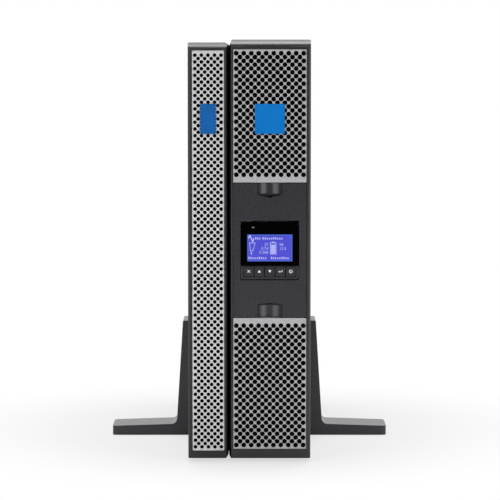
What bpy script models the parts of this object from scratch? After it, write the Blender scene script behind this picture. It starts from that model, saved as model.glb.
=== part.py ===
"""Uninterruptible power supply for a rack, standing as a tower on its outrigger stand.

A power module two rack units wide stands beside a battery module one rack unit wide.
+X is to the right seen from the front, +Y runs to the back and +Z is up.
The origin is on the floor, under the middle of the whole object's box.
"""
import math

import bmesh
import bpy
from mathutils import Matrix, Vector

MM = 0.001

# Clearances
SEAT_GAP = 0.3 * MM         # between pieces that seat on or pass through each other
PANEL_GAP = 0.4 * MM        # round panels that drop into a bezel frame
CUT_PAST = 2.0 * MM         # how far a cutter runs past the face it opens

# Whole object
DEPTH = 460.0 * MM          # from the badge's face to the rearmost flange
SHEET = 1.2 * MM            # steel sheet of the cases
ROUND_STEPS = 4             # segments of a rounded corner

# Modules seen from the front
UPS_WIDTH = 85.6 * MM
UPS_HEIGHT = 440.0 * MM
MODULE_WIDTH = 42.4 * MM
MODULE_HEIGHT = 437.0 * MM
MODULE_GAP = 0.5 * MM
CASE_INSET = 0.8 * MM       # the cases are this much smaller than their bezels

# Stand
PAD_THICK = 1.7 * MM
BASE_THICK = 2.6 * MM
BASE_LENGTH = 320.0 * MM
BASE_INSET = 5.0 * MM       # from the cases' sides to the base plate's edge
PAD_WIDTH = 14.0 * MM
PAD_INSET = 6.0 * MM
FOOT_SET_BACK = 185.0 * MM  # from the bezel's front to the feet
FOOT_DEPTH = 50.0 * MM
FOOT_REACH = 154.5 * MM     # from the middle to a foot's tip
FOOT_TIP_HEIGHT = 10.4 * MM
FOOT_ROOT_HEIGHT = 12.7 * MM
FOOT_TIP_CHAMFER = 3.0 * MM
FOOT_FILLET = 6.0 * MM
POST_HEIGHT = 130.0 * MM
POST_TOP_THICK = 10.3 * MM
POST_BASE_THICK = 18.3 * MM
POST_ROUND = 1.6 * MM
TONGUE_LENGTH = 26.0 * MM

# Bezels
BEZEL_DEPTH = 30.0 * MM
BEZEL_SIDE = 4.2 * MM
BEZEL_END = 10.0 * MM
BEZEL_END_ROUND = 5.0 * MM
BEZEL_SIDE_ROUND = 1.2 * MM
FACING_CHAMFER = 2.6 * MM
NOTCH_HEIGHT = 6.0 * MM     # corner cut where the two bezels meet
PANEL_RECESS = 0.6 * MM
PANEL_SEAT = 9.0 * MM       # depth of the pocket that takes the panels
LEDGE = 3.0 * MM

# Grilles
GRILLE_PLATE = 1.5 * MM
GRILLE_SKIRT = 1.2 * MM
HOLE_SIDES = 6
UPS_HOLE_PITCH = 15.8 * MM
UPS_HOLE_RADIUS = 4.6 * MM
MODULE_GRILLE_END = 8.2 * MM
MODULE_HOLE_PITCH = 13.8 * MM
MODULE_HOLE_RADIUS = 3.9 * MM
HOLE_MARGIN = 0.8 * MM      # solid strip between the holes and the skirt

# Badges
BADGE_THICK = 1.2 * MM
BADGE_SIZE = 31.2 * MM
BADGE_EDGE = 0.4 * MM
BADGE_HEIGHT = 137.5 * MM   # from the bezel's mid-height to the badge's centre
BADGE_PIN_RADIUS = 2.5 * MM
BADGE_PIN_LENGTH = 3.5 * MM
MODULE_BADGE_WIDTH = 16.4 * MM
ROUND_SIDES = 16

# Centre cover
COVER_HEIGHT = 142.0 * MM
COVER_WALL = 2.5 * MM
COVER_RIB = 1.6 * MM
COVER_EDGE = 0.8 * MM
SCOOP_WIDTH = 26.5 * MM
SCOOP_DEPTH = 7.0 * MM
SCOOP_LENGTH = 15.4 * MM
SCOOP_END = 4.5 * MM        # length of the scoop's rounded closed end

# Display module
DISPLAY_SIZE = 60.6 * MM
DISPLAY_DEPTH = 12.0 * MM
DISPLAY_SIDE_GAP = 0.5 * MM
DISPLAY_SWING_GAP = 1.0 * MM
DISPLAY_WALL = 1.6 * MM
DISPLAY_FACE = 5.0 * MM     # thickness of the housing's front wall
DISPLAY_HEEL = 2.0 * MM     # chamfer under the housing's back edge
WINDOW_THICK = 1.0 * MM
WINDOW_ROUND = 0.8 * MM
KEY_BAR_HEIGHT = 13.8 * MM
KEY_COUNT = 5
KEY_PITCH = 11.0 * MM
KEY_GAP = 0.5 * MM
KEY_HEIGHT = 10.4 * MM
KEY_TOP_RIM = 0.9 * MM
KEY_CLEARANCE = 0.35 * MM
KEY_PROUD = 0.3 * MM
KEY_TRAVEL = 1.0 * MM
KEY_DEPTH = 5.6 * MM
KEY_EDGE = 0.5 * MM
BOARD_THICK = 1.6 * MM
LCD_VIEW_WIDTH = 47.2 * MM
LCD_VIEW_HEIGHT = 28.2 * MM
LCD_DROP = 13.6 * MM        # from the display's top edge to the view area
LCD_RIM = 1.5 * MM
LCD_THICK = 3.0 * MM
LIGHT_WIDTH = 2.8 * MM
LIGHT_HEIGHT = 1.4 * MM
LIGHT_INSET = 12.8 * MM
LIGHT_DROP = 6.2 * MM
LIGHT_DEPTH = 0.9 * MM
HINGE_SET_BACK = 2.6 * MM   # from the display's face to the hinge axis
HINGE_DROP = 2.8 * MM       # from the display's top edge to the hinge axis
PIN_RADIUS = 0.6 * MM
PIN_REACH = 4.0 * MM        # length of pin held in each cheek of the cover
PIN_SIDES = 10

# Power module case
LID_FLANGE = 12.0 * MM
BULKHEAD_RIM = 9.0 * MM
BULKHEAD_BAR = 14.0 * MM
STANDOFF_RADIUS = 3.0 * MM
STANDOFF_HEIGHT = 6.0 * MM
STANDOFF_INSET = 9.0 * MM

# Battery pack behind the lower grille
PACK_HEIGHT = 168.0 * MM
PACK_LENGTH = 262.0 * MM
PACK_SET_BACK = 3.0 * MM
PACK_EDGE = 4.0 * MM

# Power electronics
BOARD_LIFT = 12.0 * MM      # from the battery's top to the power board
BOARD_TOP_GAP = 8.0 * MM
BOARD_LENGTH = 330.0 * MM
SINK_LENGTH = 150.0 * MM
SINK_WIDTH = 62.0 * MM
SINK_BASE = 6.0 * MM
SINK_FIN = 2.4 * MM
SINK_FIN_HEIGHT = 46.0 * MM
SINK_FIN_COUNT = 7
SINK_EDGE_GAP = 10.0 * MM
CAPACITOR_RADIUS = 17.0 * MM
CAPACITOR_HEIGHT = 50.0 * MM
CAPACITOR_EDGE = 1.5 * MM
INDUCTOR_RADIUS = 28.0 * MM
INDUCTOR_BORE = 12.0 * MM
INDUCTOR_HEIGHT = 30.0 * MM
TRANSFORMER_LENGTH = 64.0 * MM
TRANSFORMER_WIDTH = 54.0 * MM
TRANSFORMER_HEIGHT = 48.0 * MM
COIL_LENGTH = 38.0 * MM
COIL_PROUD = 8.0 * MM
COMPONENT_GAP = 14.0 * MM   # between components along the power board

# Rear panel
FLANGE_PROUD = 2.7 * MM     # flanges of the rear sockets stand this far off their seat
FLANGE_LIP = 3.0 * MM
FAN_SIDE_GAP = 1.0 * MM
FAN_DEPTH = 25.0 * MM
FAN_RIM = 2.0 * MM
FAN_HUB_RADIUS = 15.0 * MM
FAN_SPIDER_THICK = 4.0 * MM
FAN_SPIDER_BAR = 5.0 * MM
FAN_RECESS = 4.5 * MM       # from the fan's open face to the rotor
FAN_TIP_GAP = 2.5 * MM
FAN_BLADES = 7
FAN_CHORD = 13.0 * MM
FAN_BLADE_THICK = 1.6 * MM
FAN_BLADE_ANGLE = math.radians(40.0)
FAN_SHAFT_RADIUS = 2.0 * MM
FAN_SHAFT_LENGTH = 2.6 * MM
DUCT_SIDES = 32
OUTLET_COLUMNS = 2
OUTLET_ROWS = 3
OUTLET_PITCH_X = 32.0 * MM
OUTLET_PITCH_Z = 23.0 * MM
WELL_WIDTH = 26.0 * MM
WELL_HEIGHT = 18.0 * MM
WELL_CHAMFER = 4.0 * MM
WELL_DEPTH = 18.0 * MM
WELL_GROOVE = 2.8 * MM      # between the well's wall and its core
OUTLET_RIM = 3.0 * MM
CORE_BASE = 2.5 * MM
CORE_RECESS = 1.0 * MM
CONTACT_SLOT_WIDTH = 2.2 * MM
CONTACT_SLOT_HEIGHT = 4.6 * MM
CONTACT_SLOT_DEPTH = 10.0 * MM
CONTACT_SPREAD = 6.5 * MM
CONTACT_LIFT = 1.6 * MM
INLET_WIDTH = 36.0 * MM
INLET_HEIGHT = 30.0 * MM
INLET_DEPTH = 26.0 * MM
INLET_WALL = 2.4 * MM
INLET_CAVITY_DEPTH = 18.0 * MM
BLADE_WIDTH = 8.0 * MM
BLADE_THICK = 2.0 * MM
BLADE_RECESS = 3.0 * MM
BLADE_SPREAD = 7.0 * MM
BLADE_LIFT = 6.0 * MM
INLET_OFFSET = 15.0 * MM    # inlet and breaker stand to either side of the panel's middle
BREAKER_OFFSET = 25.0 * MM
BREAKER_RADIUS = 7.5 * MM
BREAKER_NUT_RADIUS = 10.5 * MM
BREAKER_DEPTH = 24.0 * MM
BREAKER_BUTTON_RADIUS = 4.0 * MM
BREAKER_BUTTON_LENGTH = 14.0 * MM
BREAKER_BUTTON_EDGE = 0.6 * MM
SOCKET_WIDTH = 38.0 * MM
MODULE_SOCKET_WIDTH = 30.0 * MM
SOCKET_HEIGHT = 24.0 * MM
SOCKET_DEPTH = 24.0 * MM
SOCKET_WALL = 3.0 * MM
SOCKET_WELL_DEPTH = 17.0 * MM
CARD_WIDTH = 56.0 * MM
CARD_HEIGHT = 32.0 * MM
CARD_THICK = 1.5 * MM
PORT_ROW_HEIGHT = 14.0 * MM
PORT_SPREAD = 17.0 * MM
USB_WIDTH = 12.0 * MM
USB_HEIGHT = 11.0 * MM
USB_DEPTH = 16.0 * MM
USB_WALL = 1.2 * MM
USB_CAVITY_DEPTH = 10.0 * MM
USB_TONGUE_WIDTH = 5.6 * MM
USB_TONGUE_HEIGHT = 3.2 * MM
USB_TONGUE_LENGTH = 8.5 * MM
SERIAL_WIDTH = 19.0 * MM
SERIAL_HEIGHT = 10.4 * MM
SERIAL_SLANT = 1.8 * MM
SERIAL_WALL = 1.0 * MM
SERIAL_DEPTH = 14.0 * MM
SERIAL_CAVITY_DEPTH = 6.0 * MM
CONTROL_BOARD_LENGTH = 70.0 * MM
TIE_HEIGHT = 18.0 * MM
TIE_THICK = 1.5 * MM
TIE_REACH = 11.0 * MM       # how far a tie plate lies on each module

# Battery module
CELL_PACK_LENGTH = 330.0 * MM
CELL_PACK_EDGE = 3.0 * MM
CELL_PACK_GAP = 4.0 * MM
CELL_PACK_SET_BACK = 4.0 * MM
BMS_HEIGHT = 240.0 * MM
BMS_WIDTH = 30.0 * MM

# Places across the object
TOWER_WIDTH = MODULE_WIDTH + MODULE_GAP + UPS_WIDTH
MODULE_LEFT = -TOWER_WIDTH / 2
MODULE_RIGHT = MODULE_LEFT + MODULE_WIDTH
MODULE_MID = (MODULE_LEFT + MODULE_RIGHT) / 2
UPS_LEFT = MODULE_RIGHT + MODULE_GAP
UPS_RIGHT = UPS_LEFT + UPS_WIDTH
UPS_MID = (UPS_LEFT + UPS_RIGHT) / 2

# Heights above the floor
BASE_BOTTOM = PAD_THICK + SEAT_GAP
CASE_BOTTOM = BASE_BOTTOM + BASE_THICK + SEAT_GAP
BEZEL_BOTTOM = CASE_BOTTOM - CASE_INSET
UPS_TOP = BEZEL_BOTTOM + UPS_HEIGHT
UPS_MID_HEIGHT = BEZEL_BOTTOM + UPS_HEIGHT / 2
MODULE_TOP = BEZEL_BOTTOM + MODULE_HEIGHT
UPS_CASE_TOP = UPS_TOP - CASE_INSET
MODULE_CASE_TOP = MODULE_TOP - CASE_INSET

# Places from front to back
PANEL_FRONT = -DEPTH / 2 + BADGE_THICK + SEAT_GAP
BEZEL_FRONT = PANEL_FRONT - PANEL_RECESS
BEZEL_SEAT = BEZEL_FRONT + PANEL_SEAT
BEZEL_BACK = BEZEL_FRONT + BEZEL_DEPTH
CASE_FRONT = BEZEL_BACK + SEAT_GAP
FLANGE_BACK = DEPTH / 2
CASE_BACK = FLANGE_BACK - FLANGE_PROUD - SEAT_GAP
FLANGE_SEAT = CASE_BACK + SEAT_GAP

# Inside of the power module's case
UPS_CASE_LEFT = UPS_LEFT + CASE_INSET
UPS_CASE_RIGHT = UPS_RIGHT - CASE_INSET
INNER_LEFT = UPS_CASE_LEFT + SHEET + SEAT_GAP
INNER_RIGHT = UPS_CASE_RIGHT - SHEET - SEAT_GAP
INNER_BOTTOM = CASE_BOTTOM + 2 * (SHEET + SEAT_GAP)
INNER_TOP = UPS_CASE_TOP - 2 * (SHEET + SEAT_GAP)
INNER_FRONT = CASE_FRONT + SHEET + SEAT_GAP
INNER_BACK = CASE_BACK - SHEET - SEAT_GAP
FAN_SIZE = INNER_RIGHT - INNER_LEFT - 2 * FAN_SIDE_GAP

# Display places
DISPLAY_LEFT = UPS_MID - DISPLAY_SIZE / 2
DISPLAY_RIGHT = UPS_MID + DISPLAY_SIZE / 2
DISPLAY_BOTTOM = UPS_MID_HEIGHT - DISPLAY_SIZE / 2
DISPLAY_TOP = UPS_MID_HEIGHT + DISPLAY_SIZE / 2
KEY_BAR_TOP = DISPLAY_BOTTOM + KEY_BAR_HEIGHT
WINDOW_SEAT = PANEL_FRONT + WINDOW_THICK + SEAT_GAP
HINGE = Vector((UPS_MID, PANEL_FRONT + HINGE_SET_BACK, DISPLAY_TOP - HINGE_DROP))

# Finishes: base colour, roughness, metallic
CHARCOAL_ABS = ((0.040, 0.038, 0.045), 0.48, 0.0)
FOOT_PLASTIC = ((0.050, 0.049, 0.054), 0.52, 0.0)
SILVER_PAINT = ((0.42, 0.42, 0.43), 0.38, 0.6)
BLUE_BADGE = ((0.003, 0.16, 0.52), 0.35, 0.0)
BLACK_GLOSS = ((0.004, 0.004, 0.004), 0.08, 0.0)
LCD_BLUE = ((0.11, 0.12, 0.68), 0.25, 0.0)
LIGHT_PIPE = ((0.20, 0.24, 0.20), 0.25, 0.0)
KEY_RUBBER = ((0.044, 0.042, 0.049), 0.6, 0.0)
CASE_STEEL = ((0.030, 0.030, 0.032), 0.55, 0.0)
BARE_STEEL = ((0.55, 0.55, 0.56), 0.35, 1.0)
ALUMINIUM = ((0.70, 0.70, 0.71), 0.32, 1.0)
BOARD_GREEN = ((0.010, 0.085, 0.028), 0.45, 0.0)
COPPER_WINDING = ((0.42, 0.16, 0.06), 0.4, 0.7)
CORE_STEEL = ((0.10, 0.10, 0.11), 0.5, 0.6)
SLEEVE_BLACK = ((0.012, 0.012, 0.013), 0.4, 0.0)
PACK_GREY = ((0.075, 0.078, 0.085), 0.6, 0.0)
CELL_WRAP = ((0.018, 0.060, 0.20), 0.4, 0.0)
SOCKET_BLACK = ((0.014, 0.014, 0.015), 0.45, 0.0)
SOCKET_GREY = ((0.16, 0.16, 0.17), 0.5, 0.0)
PAD_RUBBER = ((0.012, 0.012, 0.012), 0.8, 0.0)


class Shape:
    """A mesh under construction, filled with closed boxes, prisms and turned bodies."""

    def __init__(self):
        self.mesh = bmesh.new()

    def box(self, low, high):
        """Add a box between two corners."""
        size = Vector(high) - Vector(low)
        place = Matrix.Translation((Vector(low) + Vector(high)) / 2)
        bmesh.ops.create_cube(self.mesh, size=1.0, matrix=place @ Matrix.Diagonal((*size, 1.0)))
        return self

    def prism(self, outline, axis, start, end):
        """Add an outline, given across the other two axes, drawn out along one axis."""
        rings = []
        for along in (start, end):
            ring = []
            for first, second in outline:
                corner = [first, second]
                corner.insert("XYZ".index(axis), along)
                ring.append(self.mesh.verts.new(corner))
            rings.append(ring)
        self.bridge(rings)
        return self

    def turned(self, profile, centre, sides):
        """Add a body turned about a line along Y: the profile holds (radius, place along Y)."""
        rings = []
        for radius, along in profile:
            ring = []
            for across, up in circle(radius, sides):
                ring.append(self.mesh.verts.new((centre[0] + across, along, centre[1] + up)))
            rings.append(ring)
        self.bridge(rings)
        return self

    def bridge(self, rings):
        """Join rings of equal count into a closed body with flat ends."""
        for near, far in zip(rings, rings[1:]):
            for index in range(len(near)):
                after = (index + 1) % len(near)
                self.mesh.faces.new((near[index], near[after], far[after], far[index]))
        self.mesh.faces.new(rings[0])
        self.mesh.faces.new(rings[-1])

    def bevel_all(self, width):
        """Round every edge a little with one flat."""
        bmesh.ops.bevel(self.mesh, geom=self.mesh.edges[:], offset=width, segments=1, affect="EDGES")
        return self

    def turn(self, angle, axis, centre):
        """Turn everything so far about a line through a point."""
        there, back = Matrix.Translation(centre), Matrix.Translation(-Vector(centre))
        place = there @ Matrix.Rotation(angle, 4, axis) @ back
        bmesh.ops.transform(self.mesh, matrix=place, verts=self.mesh.verts[:])
        return self

    def data(self, name):
        """Finish the mesh with its faces pointing out."""
        bmesh.ops.recalc_face_normals(self.mesh, faces=self.mesh.faces[:])
        mesh = bpy.data.meshes.new(name)
        self.mesh.to_mesh(mesh)
        self.mesh.free()
        return mesh

    def piece(self, name, finish):
        """Make a visible piece with its own material."""
        piece = bpy.data.objects.new(name, self.data(name))
        bpy.context.scene.collection.objects.link(piece)
        piece.data.materials.append(material(name, finish))
        return piece

    def tool(self, name):
        """Make a hidden cutter or addition for a Boolean."""
        tool = bpy.data.objects.new(name, self.data(name))
        bpy.context.scene.collection.objects.link(tool)
        tool.hide_render = True
        tool.display_type = "WIRE"
        return tool


def material(name, finish):
    """Make a plain Principled material."""
    colour, roughness, metallic = finish
    made = bpy.data.materials.new(name)
    made.use_nodes = True
    shader = made.node_tree.nodes["Principled BSDF"]
    shader.inputs["Base Color"].default_value = (*colour, 1.0)
    shader.inputs["Roughness"].default_value = roughness
    shader.inputs["Metallic"].default_value = metallic
    return made


def combine(piece, shape, operation):
    """Cut a piece with a shape, add the shape to it or keep what they share."""
    modifier = piece.modifiers.new(operation.title(), "BOOLEAN")
    modifier.operation = operation
    modifier.object = shape.tool(f"{piece.name}_{operation.lower()}_{len(piece.modifiers)}")
    return piece


def cut(piece, shape):
    """Remove a shape from a piece."""
    return combine(piece, shape, "DIFFERENCE")


def add(piece, shape):
    """Join a shape to a piece."""
    return combine(piece, shape, "UNION")


def keep(piece, shape):
    """Keep only what a piece shares with a shape."""
    return combine(piece, shape, "INTERSECT")


def smooth(piece):
    """Shade the round faces of a piece smooth."""
    piece.data.shade_smooth()
    piece.data.set_sharp_from_angle(angle=math.radians(30.0))
    return piece


def set_origin(piece, origin):
    """Put a piece's origin on its joint's axis and leave its shape where it is."""
    piece.data.transform(Matrix.Translation(-Vector(origin)))
    piece.location = origin
    return piece


def hang_on(piece, carrier):
    """Parent a piece to an empty and leave it where it is."""
    piece.parent = carrier
    piece.location = piece.location - carrier.location
    return piece


def circle(radius, sides):
    """Corners of a regular polygon about the origin."""
    turn = 2 * math.pi / sides
    return [(radius * math.cos(turn * index), radius * math.sin(turn * index)) for index in range(sides)]


def circle_at(centre, radius, sides):
    """Corners of a regular polygon about a point."""
    return [(centre[0] + across, centre[1] + up) for across, up in circle(radius, sides)]


def rectangle(low, high):
    """Corners of an upright rectangle."""
    return [(low[0], low[1]), (high[0], low[1]), (high[0], high[1]), (low[0], high[1])]


def rounded(corners):
    """Outline with each corner (first, second, radius) drawn as an arc."""
    outline = []
    for index, (first, second, radius) in enumerate(corners):
        here = Vector((first, second))
        if radius == 0:
            outline.append(tuple(here))
            continue
        before = (Vector(corners[index - 1][:2]) - here).normalized()
        after = (Vector(corners[(index + 1) % len(corners)][:2]) - here).normalized()
        half = before.angle(after) / 2
        centre = here + (before + after).normalized() * (radius / math.sin(half))
        start = here + before * (radius / math.tan(half)) - centre
        turn = math.copysign(math.pi - 2 * half, before.y * after.x - before.x * after.y)
        for step in range(ROUND_STEPS + 1):
            angle = turn * step / ROUND_STEPS
            outline.append(tuple(centre + Matrix.Rotation(angle, 2) @ start))
    return outline


def hole_places(low, high, pitch, radius, pivot):
    """Centres of staggered holes inside a rectangle, left out round a pivot."""
    columns = int((high[0] - low[0] - 2 * radius) / pitch) + 1
    rows = int((high[1] - low[1] - 2 * radius) / (pitch / 2)) + 1
    middle = ((low[0] + high[0]) / 2, (low[1] + high[1]) / 2)
    places = []
    for row in range(rows):
        count = columns - row % 2
        up = middle[1] + (row - (rows - 1) / 2) * pitch / 2
        for column in range(count):
            across = middle[0] + (column - (count - 1) / 2) * pitch
            if pivot is None or math.dist((across, up), pivot) > pitch / 2 + radius / 2:
                places.append((across, up))
    return places


def build_stand():
    """Outrigger feet, the base plate between them and its rubber pads."""
    half_base = TOWER_WIDTH / 2 - BASE_INSET
    base_low = (-half_base, -BASE_LENGTH / 2, BASE_BOTTOM)
    base_high = (half_base, BASE_LENGTH / 2, BASE_BOTTOM + BASE_THICK)
    Shape().box(base_low, base_high).piece("stand_base_plate", CASE_STEEL)
    pad_middle = BASE_LENGTH / 2 - PAD_INSET - PAD_WIDTH / 2
    half_pad = half_base - PAD_INSET
    for name, middle in (("stand_pad_front", -pad_middle), ("stand_pad_rear", pad_middle)):
        low = (-half_pad, middle - PAD_WIDTH / 2, 0.0)
        high = (half_pad, middle + PAD_WIDTH / 2, PAD_THICK)
        Shape().box(low, high).piece(name, PAD_RUBBER)
    build_foot("stand_foot_left", -1)
    build_foot("stand_foot_right", 1)


def build_foot(name, side):
    """One outrigger foot: a post against the cases and a low arm that reaches out."""
    inner = TOWER_WIDTH / 2 + SEAT_GAP
    base_out = inner + POST_BASE_THICK
    top_out = inner + POST_TOP_THICK
    root_out = base_out + (top_out - base_out) * FOOT_ROOT_HEIGHT / POST_HEIGHT
    front = BEZEL_FRONT + FOOT_SET_BACK
    back = front + FOOT_DEPTH
    profile = rounded([
        (inner - TONGUE_LENGTH, 0.0, 0.0),
        (FOOT_REACH, 0.0, 0.0),
        (FOOT_REACH, FOOT_TIP_HEIGHT, POST_ROUND),
        (root_out, FOOT_ROOT_HEIGHT, FOOT_FILLET),
        (top_out, POST_HEIGHT, POST_ROUND),
        (inner, POST_HEIGHT, 0.0),
        (inner, PAD_THICK, 0.0),
        (inner - TONGUE_LENGTH, PAD_THICK, 0.0),
    ])
    mirrored = [(side * across, up) for across, up in profile]
    foot = Shape().prism(mirrored, "Y", front, back).piece(name, FOOT_PLASTIC)
    far_in = inner - TONGUE_LENGTH - CUT_PAST
    shoulder = FOOT_REACH - FOOT_TIP_CHAMFER
    plan = [
        (far_in, front), (shoulder, front), (FOOT_REACH, front + FOOT_TIP_CHAMFER),
        (FOOT_REACH, back - FOOT_TIP_CHAMFER), (shoulder, back), (far_in, back),
    ]
    mirrored_plan = [(side * across, along) for across, along in plan]
    keep(foot, Shape().prism(mirrored_plan, "Z", -CUT_PAST, POST_HEIGHT + CUT_PAST))


def bezel_blank(name, left, right, top, facing):
    """A bezel's outer block: rounded ends, and a chamfer on the edge that faces the other module.

    facing is -1 where the other module is on the left and 1 where it is on the right.
    """
    across = (left, right) if facing > 0 else (right, left)
    outer, inner = across
    front = rounded([
        (outer, BEZEL_BOTTOM, BEZEL_SIDE_ROUND),
        (inner - facing * FACING_CHAMFER, BEZEL_BOTTOM, 0.0),
        (inner, BEZEL_BOTTOM + NOTCH_HEIGHT, 0.0),
        (inner, top - NOTCH_HEIGHT, 0.0),
        (inner - facing * FACING_CHAMFER, top, 0.0),
        (outer, top, BEZEL_SIDE_ROUND),
    ])
    blank = Shape().prism(front, "Y", BEZEL_FRONT, BEZEL_BACK).piece(name, CHARCOAL_ABS)
    side = rounded([
        (BEZEL_FRONT, BEZEL_BOTTOM, BEZEL_END_ROUND),
        (BEZEL_BACK + CUT_PAST, BEZEL_BOTTOM, 0.0),
        (BEZEL_BACK + CUT_PAST, top, 0.0),
        (BEZEL_FRONT, top, BEZEL_END_ROUND),
    ])
    keep(blank, Shape().prism(side, "X", left - CUT_PAST, right + CUT_PAST))
    plan = rounded([
        (outer, BEZEL_FRONT, BEZEL_SIDE_ROUND),
        (outer, BEZEL_BACK + CUT_PAST, 0.0),
        (inner, BEZEL_BACK + CUT_PAST, 0.0),
        (inner, BEZEL_FRONT + FACING_CHAMFER, 0.0),
        (inner - facing * FACING_CHAMFER, BEZEL_FRONT, 0.0),
    ])
    keep(blank, Shape().prism(plan, "Z", BEZEL_BOTTOM - CUT_PAST, top + CUT_PAST))
    return blank


def panel_shell(name, low, high, finish):
    """A pressed panel: a plate with a skirt round it that seats on the bezel's ledge."""
    back = BEZEL_SEAT - SEAT_GAP
    shell = Shape().box((low[0], PANEL_FRONT, low[1]), (high[0], back, high[1])).piece(name, finish)
    hollow_low = (low[0] + GRILLE_SKIRT, PANEL_FRONT + GRILLE_PLATE, low[1] + GRILLE_SKIRT)
    hollow_high = (high[0] - GRILLE_SKIRT, back + CUT_PAST, high[1] - GRILLE_SKIRT)
    return cut(shell, Shape().box(hollow_low, hollow_high))


def perforate(panel, low, high, pitch, radius, pivot):
    """Punch a panel with staggered holes inside its skirt."""
    margin = GRILLE_SKIRT + HOLE_MARGIN
    field_low = (low[0] + margin, low[1] + margin)
    field_high = (high[0] - margin, high[1] - margin)
    punch = Shape()
    for place in hole_places(field_low, field_high, pitch, radius, pivot):
        outline = circle_at(place, radius, HOLE_SIDES)
        punch.prism(outline, "Y", PANEL_FRONT - CUT_PAST, PANEL_FRONT + GRILLE_PLATE + CUT_PAST)
    return cut(panel, punch)


def build_ups_front():
    """The power module's bezel frame, grilles, badge and centre cover."""
    frame = bezel_blank("ups_bezel_frame", UPS_LEFT, UPS_RIGHT, UPS_TOP, -1)
    left, right = UPS_LEFT + BEZEL_SIDE, UPS_RIGHT - BEZEL_SIDE
    bottom, top = BEZEL_BOTTOM + BEZEL_END, UPS_TOP - BEZEL_END
    cut(frame, Shape().box((left, BEZEL_FRONT - CUT_PAST, bottom), (right, BEZEL_SEAT, top)))
    cover_bottom = UPS_MID_HEIGHT - COVER_HEIGHT / 2
    cover_top = UPS_MID_HEIGHT + COVER_HEIGHT / 2
    windows = Shape()
    for low, high in ((bottom, cover_bottom), (cover_bottom, cover_top), (cover_top, top)):
        window_low = (left + LEDGE, BEZEL_SEAT - CUT_PAST, low + LEDGE)
        window_high = (right - LEDGE, BEZEL_BACK + CUT_PAST, high - LEDGE)
        windows.box(window_low, window_high)
    cut(frame, windows)
    panel_left, panel_right = left + PANEL_GAP, right - PANEL_GAP
    build_badge_and_upper_grille((panel_left, cover_top + PANEL_GAP), (panel_right, top - PANEL_GAP))
    low, high = (panel_left, bottom + PANEL_GAP), (panel_right, cover_bottom - PANEL_GAP)
    grille = panel_shell("lower_grille", low, high, SILVER_PAINT)
    perforate(grille, low, high, UPS_HOLE_PITCH, UPS_HOLE_RADIUS, None)
    build_cover((panel_left, cover_bottom + PANEL_GAP), (panel_right, cover_top - PANEL_GAP))


def build_badge_and_upper_grille(low, high):
    """The upper grille, and the badge that turns on a pin through it."""
    centre = (UPS_MID, UPS_MID_HEIGHT + BADGE_HEIGHT)
    grille = panel_shell("upper_grille", low, high, SILVER_PAINT)
    perforate(grille, low, high, UPS_HOLE_PITCH, UPS_HOLE_RADIUS, centre)
    bore = circle_at(centre, BADGE_PIN_RADIUS + SEAT_GAP, ROUND_SIDES)
    cut(grille, Shape().prism(bore, "Y", PANEL_FRONT - CUT_PAST, PANEL_FRONT + GRILLE_PLATE + CUT_PAST))
    badge = badge_plate("ups_badge", centre, BADGE_SIZE)
    pin = circle_at(centre, BADGE_PIN_RADIUS, ROUND_SIDES)
    back = PANEL_FRONT - SEAT_GAP
    add(badge, Shape().prism(pin, "Y", back - BADGE_THICK / 2, back + BADGE_PIN_LENGTH))
    set_origin(badge, (centre[0], back, centre[1]))


def badge_plate(name, centre, width):
    """A blank badge plate in front of a grille."""
    back = PANEL_FRONT - SEAT_GAP
    low = (centre[0] - width / 2, back - BADGE_THICK, centre[1] - BADGE_SIZE / 2)
    high = (centre[0] + width / 2, back, centre[1] + BADGE_SIZE / 2)
    return Shape().box(low, high).bevel_all(BADGE_EDGE).piece(name, BLUE_BADGE)


def scoop(edge, inward):
    """A finger scoop: an upright round hollow, open at a grille's edge and closed by a rounded end."""
    half = SCOOP_WIDTH / 2
    radius = (half ** 2 + SCOOP_DEPTH ** 2) / (2 * SCOOP_DEPTH)
    axis_y = PANEL_FRONT + SCOOP_DEPTH - radius
    straight = SCOOP_LENGTH - SCOOP_END
    steps = [(-CUT_PAST, 1.0), (straight, 1.0)]
    for index in range(1, ROUND_STEPS):
        angle = math.pi / 2 * index / ROUND_STEPS
        steps.append((straight + SCOOP_END * math.sin(angle), math.cos(angle)))
    shape = Shape()
    rings = []
    for along, share in steps:
        height = edge + inward * along
        outline = circle_at((UPS_MID, axis_y), radius * share, 2 * ROUND_SIDES)
        rings.append([shape.mesh.verts.new((across, back, height)) for across, back in outline])
    shape.bridge(rings)
    return shape


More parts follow.
